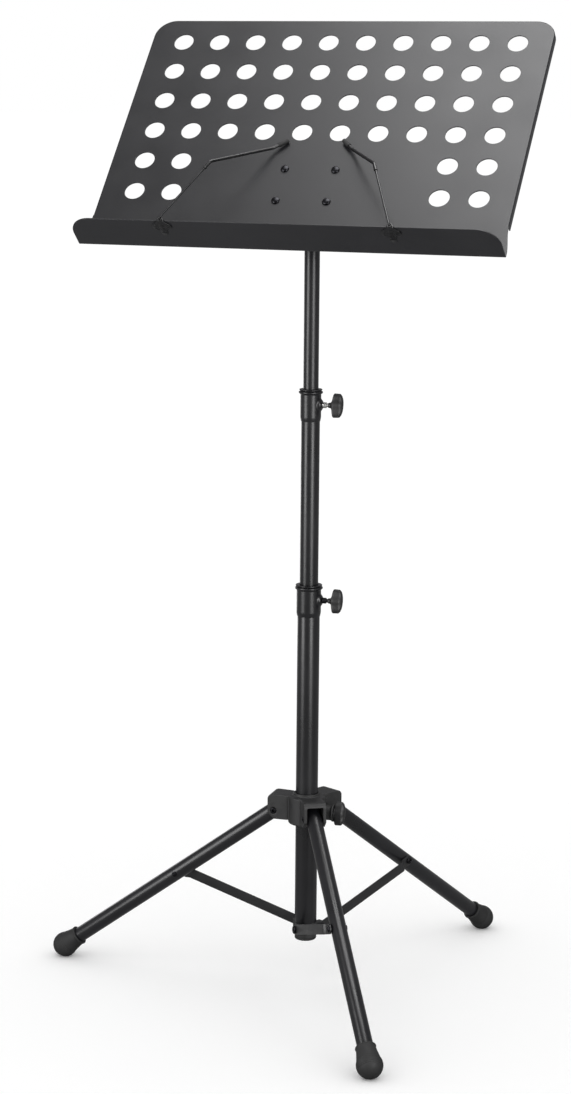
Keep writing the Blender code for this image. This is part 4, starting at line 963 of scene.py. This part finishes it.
def desk_panel():
    """One steel sheet: pierced, its sides and top folded back into a rim, its foot bent into the shelf."""
    outline = desk_outline()
    count = len(outline)
    bm = bmesh.new()
    flat, flanged = edge_profile(0), edge_profile(1)
    rings = [[] for _ in flat]
    for i, (x, s, f) in enumerate(outline):
        ahead = Vector(outline[(i + 1) % count][:2]) - Vector((x, s))
        behind = Vector((x, s)) - Vector(outline[i - 1][:2])
        tangent = ahead.normalized() + behind.normalized()
        out = Vector((tangent.y, -tangent.x)).normalized()
        for ring, (inset, depth) in zip(rings, flanged if f else flat):
            ring.append(bm.verts.new((x - out.x * inset, depth, s - out.y * inset)))
    walls = [rings]
    radii = [(HOLE_RADIUS, 48, x, z) for x, z in hole_centres()]
    radii += [(2.8 * MM, 20, x, z) for x, z in screw_places()]
    for radius, sides, x, z in radii:
        walls.append([
            [bm.verts.new((x + (radius + inset) * math.cos(math.tau * k / sides), depth,
                           z - BEND_START + (radius + inset) * math.sin(math.tau * k / sides)))
             for k in range(sides)]
            for inset, depth in flat[:12]
        ])
    for wall in walls:
        for one, two in zip(wall, wall[1:]):
            for k in range(len(one)):
                n = (k + 1) % len(one)
                bm.faces.new((one[k], one[n], two[n], two[k]))
    for side in (0, -1):
        edges = []
        for wall in walls:
            loop = wall[side]
            edges += [bm.edges.get((loop[k], loop[(k + 1) % len(loop)])) for k in range(len(loop))]
        bmesh.ops.triangle_fill(bm, edges=edges, use_beauty=True, normal=(0, -1, 0))
    for i in range(9):
        geom = bm.verts[:] + bm.edges[:] + bm.faces[:]
        crease = (0, 0, -BEND * i / 8)
        bmesh.ops.bisect_plane(bm, geom=geom, plane_co=crease, plane_no=(0, 0, 1), dist=1e-6)
    fold_sheet(bm)
    node = "desk_panel"
    weigh(finished("perforated_desk", bm, "desk", POWDER, [node], DESK, angle=40))


def weigh(piece):
    """Shading that keeps flat faces flat beside rounded edges."""
    modifier = piece.modifiers.new("flat_faces", "WEIGHTED_NORMAL")
    modifier.keep_sharp = True
    modifier.weight = 90


def desk_screws():
    """Four round-head screws, with the washers and nuts that hold them behind the bracket."""
    washer_outline = arc((0, 0), 5 * MM, 0, 360, 32)[:-1]
    seat = -(SHEET + 2.8 * MM)  # back of the bracket's plate from the desk's face
    for i, (x, z) in enumerate(screw_places()):
        node = f"desk_screw_{i + 1}"
        end = FACE - span(node, DESK)[1].y
        screw = dome(5 * MM, 2.65 * MM, edge=0.2) + [(2.4 * MM, 0), (2.4 * MM, end), (0, end)]
        washer = prism(washer_outline, 0, 0.8 * MM, 0.2 * MM)
        nut = prism(hexagon(8 * MM), 0, 2.8 * MM, 0.4 * MM)
        behind = [(washer, moved(z=seat - 0.9 * MM)), (nut, moved(z=seat - 3.7 * MM))]
        bm = joined(turned(screw), *behind)
        place = DESK @ moved(x, FACE - 0.15 * MM, z) @ turned_to((0, -1, 0))
        name = f"desk_screw_head_{i + 1}"
        finished(name, bm, "desk", BLACKED, [node], place, angle=35)


def tilt_bracket():
    """Pressed bracket behind the desk: a plate with rounded corners and two ears."""
    low, high = span("tilt_bracket", DESK)
    front = FACE + SHEET + 0.3 * MM
    back = front + 2.5 * MM
    width, height = high.x - low.x, high.z - low.z
    inside = span("tilt_washer_right", DESK)[1].x + 0.3 * MM
    plate = prism(rounded_rectangle(width, height, 6 * MM), -back, -front)
    ear_view = arc((0, 0), 11 * MM, -90, 90, 20)
    ear_view += [(back + 3 * MM, 12.5 * MM), (back, 16.5 * MM), (front + 1 * MM, 16.5 * MM)]
    ear_view += [(front + 1 * MM, -16.5 * MM), (back, -16.5 * MM), (back + 3 * MM, -12.5 * MM)]
    ears = ((-inside - 3 * MM, -inside), (inside, inside + 3 * MM))
    adds = [(prism(ear_view, start, end), SIDE_ON) for start, end in ears]
    cuts = [(rod(3.3 * MM, -30 * MM, 30 * MM, SMALL), turned_to((1, 0, 0)))]
    for x, z in screw_places():
        hole = moved(x, (front + back) / 2, z) @ turned_to((0, 1, 0))
        cuts.append((rod(2.8 * MM, -5 * MM, 5 * MM, SMALL), hole))
    bm = shaped((plate, ON_EDGE), adds, cuts, soft=0.45 * MM)
    node = "tilt_bracket"
    weigh(finished("desk_bracket", bm, "desk", STRIP, [node], DESK, angle=40))


def tilt_head():
    """Moulded head on the mast: socket over the tube, cross barrel for the bolt, webs between."""
    at, axis = joint_place("desk_tilt")
    place = upright(at, axis)
    low, high = span("tilt_head", place)
    r = high.y - 0.1 * MM
    half = high.x
    socket = [(0, -2 * MM), (r - 0.3 * MM, -2 * MM), (r - 0.3 * MM, -16 * MM), (r, -18 * MM)]
    socket += [(r, low.z), (9.3 * MM, low.z), (9.3 * MM, -16.5 * MM), (0, -16.5 * MM)]
    barrel = rod(11 * MM, -half + 0.2 * MM, half - 0.2 * MM)
    bore = rod(3.3 * MM, -20 * MM, 20 * MM, SMALL)
    across = turned_to((1, 0, 0))
    bm = shaped(turned(socket), [(barrel, across)], [(bore, across)], voxel=0.55 * MM, rounds=4)
    node = "tilt_head"
    finished("mast_head", bm, "upper_mast", NYLON, [node], place, angle=180)


def tilt_fasteners():
    """Friction washers and the bolt through the ears."""
    across = DESK @ turned_to((1, 0, 0))
    for side in SIDES:
        node = "tilt_washer_" + side
        low, high = span(node, across)
        ring = [(3.3 * MM, high.z), (9 * MM, high.z), (9 * MM, low.z), (3.3 * MM, low.z)]
        bm = turned(softened(ring, 0.3 * MM))
        finished("friction_washer_" + side, bm, "desk", RUBBER, [node], across)
    low, high = span("tilt_bolt", across)
    head_high = low.z + 4.4 * MM
    neck = high.z - 7.7 * MM - 2.4 * MM
    shaft = [(0, high.z), (2.2 * MM, high.z), (2.2 * MM, neck), (2.9 * MM, neck)]
    shaft += [(2.9 * MM, head_high), (0, head_high)]
    head = prism(hexagon(11.6 * MM), low.z, head_high, 0.6 * MM, 3)
    bm = joined(turned(shaft, SMALL), head)
    finished("tilt_bolt_steel", bm, "desk", ZINC, ["tilt_bolt"], across, angle=35)


# ---------------------------------------------------------------- page-holder arms

def clip(side):
    """Sprung steel clip on the shelf's edge: two lobes and a ribbed tongue below, a leaf above."""
    node = "holder_clip_" + side
    low, high = span(node, DESK)
    x = (low.x + high.x) / 2
    half = (high.x - low.x) / 2
    front = PANEL_LOW.y - 0.3 * MM
    under = PANEL_LOW.z - 0.3 * MM
    over = PANEL_LOW.z + SHEET + 0.3 * MM
    thick = 0.9 * MM
    face = under - thick  # underside of the lobes
    deep = high.y - front
    lobe = arc((half * 0.52, deep * 0.40), half * 0.46, -70, 120, 12)
    tongue = [(0.34 * half, deep * 0.74), (0.27 * half, deep * 0.93), (0.16 * half, deep)]
    right = [(0.30 * half, -thick)] + lobe + tongue
    outline = right + [(-px, py) for px, py in reversed(right)]
    leaf = prism([(px, front + py) for px, py in outline], under - thick, under, 0.25 * MM)
    parts = [leaf]
    for i in range(7):
        rib_y = front + deep * (0.18 + 0.105 * i)
        outline = rounded_rectangle(half * 0.5, 0.9 * MM, 0.4 * MM, 3)
        rib = prism(outline, face - 0.45 * MM, face + 0.1 * MM, 0.2 * MM)
        parts.append((rib, moved(0, rib_y, 0)))
    for sign in (-1, 1):
        for i in range(4):
            turn = Matrix.Rotation(math.radians(sign * (-52 + 8 * i)), 4, "Z")
            outline = rounded_rectangle(half * 0.5, 0.7 * MM, 0.3 * MM, 3)
            rib = prism(outline, face - 0.35 * MM, face + 0.1 * MM, 0.15 * MM)
            parts.append((rib, moved(sign * half * 0.55, front + deep * (0.24 + 0.11 * i)) @ turn))
    hook = [(front - thick, face), (front - thick, over + thick * 0.6)]
    hook += [(front - thick * 0.6, over + thick), (front + 11 * MM, over + thick)]
    hook += [(front + 12 * MM, over + thick + 0.8 * MM), (front + 12 * MM, over + 0.9 * thick)]
    hook += [(front + 11 * MM, over + 0.02 * MM), (front - 0.05 * MM, over)]
    hook += [(front - 0.05 * MM, under - thick * 0.4)]
    parts.append((prism(hook, -4 * MM, 4 * MM, 0.2 * MM), SIDE_ON))
    eye = [(1.4 * MM, 0), (3.1 * MM, 0), (3.1 * MM, -2.3 * MM), (1.4 * MM, -2.3 * MM)]
    seat = moved(0, front - thick + 0.1 * MM, (under + over) / 2) @ turned_to((0, 1, 0))
    parts.append((turned(softened(eye, 0.4 * MM), SMALL), seat))
    name, place = "shelf_clip_" + side, DESK @ moved(x)
    finished(name, joined(*parts), "desk", WIRE, [node], place, angle=40)


def page_arm(side):
    """Thin wire from the clip, and a thicker rod that turns on it, with a rubber tip on the page side."""
    inverse = DESK.inverted()
    pin = inverse @ joint_place(f"holder_{side}_swing")[0]
    elbow = inverse @ joint_place(f"holder_{side}_turn")[0]
    eye = Vector((pin.x, elbow.y, pin.z))
    run = (elbow - eye).normalized()
    rod_leg, in_rod, toe_length = 11 * MM, 9 * MM, 20.24 * MM
    socket = elbow - run * rod_leg
    hooked = Vector((pin.x, PANEL_LOW.y - 0.6 * MM, pin.z))
    wire = rounded_path([hooked, eye, socket + run * in_rod], 1.9 * MM)
    body = "holder_wire_" + side
    finished("page_wire_" + side, swept(wire, 1.25 * MM), body, WIRE, [body], DESK)
    cap_low, cap_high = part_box("holder_tip_" + side)
    centre = inverse @ ((cap_low + cap_high) / 2)
    end = inverse.to_3x3() @ long_axis("holder_tip_" + side)
    end = end if end.dot(centre - elbow) > 0 else -end
    tip = centre + end * 5.6 * MM
    toe = tip - end * toe_length
    path = rounded_path([socket, elbow, toe, tip], 6 * MM)
    bar = swept(path, 1.9 * MM, 18)
    stations = [(-0.3, 1.9), (0, 2.25), (1.6, 2.25), (1.9, 1.9)]
    collar = swept([socket + run * at * MM for at, _ in stations], 0, 18, [r * MM for _, r in stations])
    body = "holder_rod_" + side
    finished("page_rod_" + side, joined(bar, collar), body, WIRE, [body], DESK)
    crown, mouth = 1.35 * MM, -12.5 * MM
    cap = [(0, crown), (2.65 * MM, crown), (2.65 * MM, mouth), (1.95 * MM, mouth), (1.95 * MM, 0), (0, 0)]
    cap = softened(cap, 1 * MM, 4, closed=False)
    place = DESK @ Matrix.Translation(tip) @ turned_to(end)
    name, node = "page_tip_" + side, "holder_tip_" + side
    finished(name, turned(cap, SMALL), body, RUBBER, [node], place, angle=40)


# ---------------------------------------------------------------- studio


def white_paper():
    """Bleached, unglazed background paper: pure white to the eye, dimmed where gloss mirrors it."""
    mat, tree, shader = finish_of("white_paper", "#fdfdfd", 1.0, Specular_IOR_Level=0.0)
    seen = add(tree, "LightPath").outputs["Is Glossy Ray"]
    tone = add(tree, "MapRange", Value=seen, To_Min=0.982, To_Max=0.3)
    tree.links.new(tone.outputs["Result"], shader.inputs["Base Color"])
    shader.inputs["Emission Color"].default_value = (1, 1, 1, 1)
    shader.inputs["Emission Strength"].default_value = 0.05
    return mat


def studio_floor():
    """Matt white paper floor."""
    bm = bmesh.new()
    reach = 60
    corners = ((-reach, -reach), (reach, -reach), (reach, reach), (-reach, reach))
    bm.faces.new([bm.verts.new((x, y, 0)) for x, y in corners])
    mesh = bpy.data.meshes.new("studio_floor")
    bm.to_mesh(mesh)
    bm.free()
    mesh.materials.append(white_paper())
    floor = bpy.data.objects.new("studio_floor", mesh)
    bpy.context.scene.collection.objects.link(floor)


def soft_box(name, azimuth, distance, height, size, watts):
    """A rectangular soft light aimed at the mast; azimuth is from the desk's front, towards +X."""
    a = math.radians(azimuth)
    data = bpy.data.lights.new(name, "AREA")
    data.shape = "RECTANGLE"
    data.size, data.size_y = size
    data.energy = watts
    light = bpy.data.objects.new(name, data)
    bpy.context.scene.collection.objects.link(light)
    light.location = MAST + Vector((distance * math.sin(a), -distance * math.cos(a), height))
    aim = MAST + Vector((0, 0, min(height, 0.75))) - light.location
    light.rotation_euler = aim.to_track_quat("-Z", "Y").to_euler()
    light.visible_camera = False
    light.visible_diffuse = False
    return light


def room_light():
    """White surroundings; gloss sees them dimmer, as it does between dark flags beside the set."""
    world = bpy.data.worlds.new("studio_room")
    bpy.context.scene.world = world
    world.use_nodes = True
    tree = world.node_tree
    path = add(tree, "LightPath")
    dim = add(tree, "Background", Color=(0.97, 0.96, 1, 1), Strength=0.32)
    open_room = tree.nodes["Background"]
    open_room.inputs["Color"].default_value = (1, 1, 1, 1)
    open_room.inputs["Strength"].default_value = 1.0
    gloss = path.outputs["Is Glossy Ray"]
    mix = add(tree, "MixShader", Fac=gloss, i1=open_room.outputs[0], i2=dim.outputs[0])
    tree.links.new(mix.outputs[0], tree.nodes["World Output"].inputs["Surface"])


def camera():
    """Long lens, a little right of the desk's middle and level with its page face."""
    data = bpy.data.cameras.new("camera")
    data.sensor_width = 36
    data.lens = 85.9
    cam = bpy.data.objects.new("camera", data)
    bpy.context.scene.collection.objects.link(cam)
    cam.location = MAST + Vector((0.992, -2.873, 1.092))
    yaw, pitch, roll = math.radians(19.58), math.radians(10.30), math.radians(0.48)
    tilt = Matrix.Rotation(math.pi / 2 - pitch, 3, "X") @ Matrix.Rotation(roll, 3, "Z")
    cam.rotation_euler = (Matrix.Rotation(yaw, 3, "Z") @ tilt).to_euler()
    bpy.context.scene.camera = cam


def studio():
    camera()
    studio_floor()
    room_light()
    soft_box("left_soft_box", -38, 2.4, 1.0, (1.1, 2.4), 52)
    soft_box("right_soft_box", 49, 2.4, 1.0, (1.0, 2.4), 50)
    soft_box("top_soft_box", 100, 0.25, 2.9, (1.6, 1.6), 58)
    soft_box("rear_soft_box", -135, 2.2, 0.25, (0.9, 0.9), 5)
    bpy.context.scene.view_settings.view_transform = "Standard"


studio()
mast()
hub()
legs()
for leg in LEGS:
    brace(leg)
mast_foot()
desk_panel()
desk_screws()
tilt_bracket()
tilt_head()
tilt_fasteners()
up_the_desk = DESK.to_3x3() @ Vector((0, 0, 1))
wing_knob("tilt_wing_knob", "tilt_knob", "tilt_clamp", "tilt_clamp_turn", up_the_desk)
for side in SIDES:
    clip(side)
    page_arm(side)
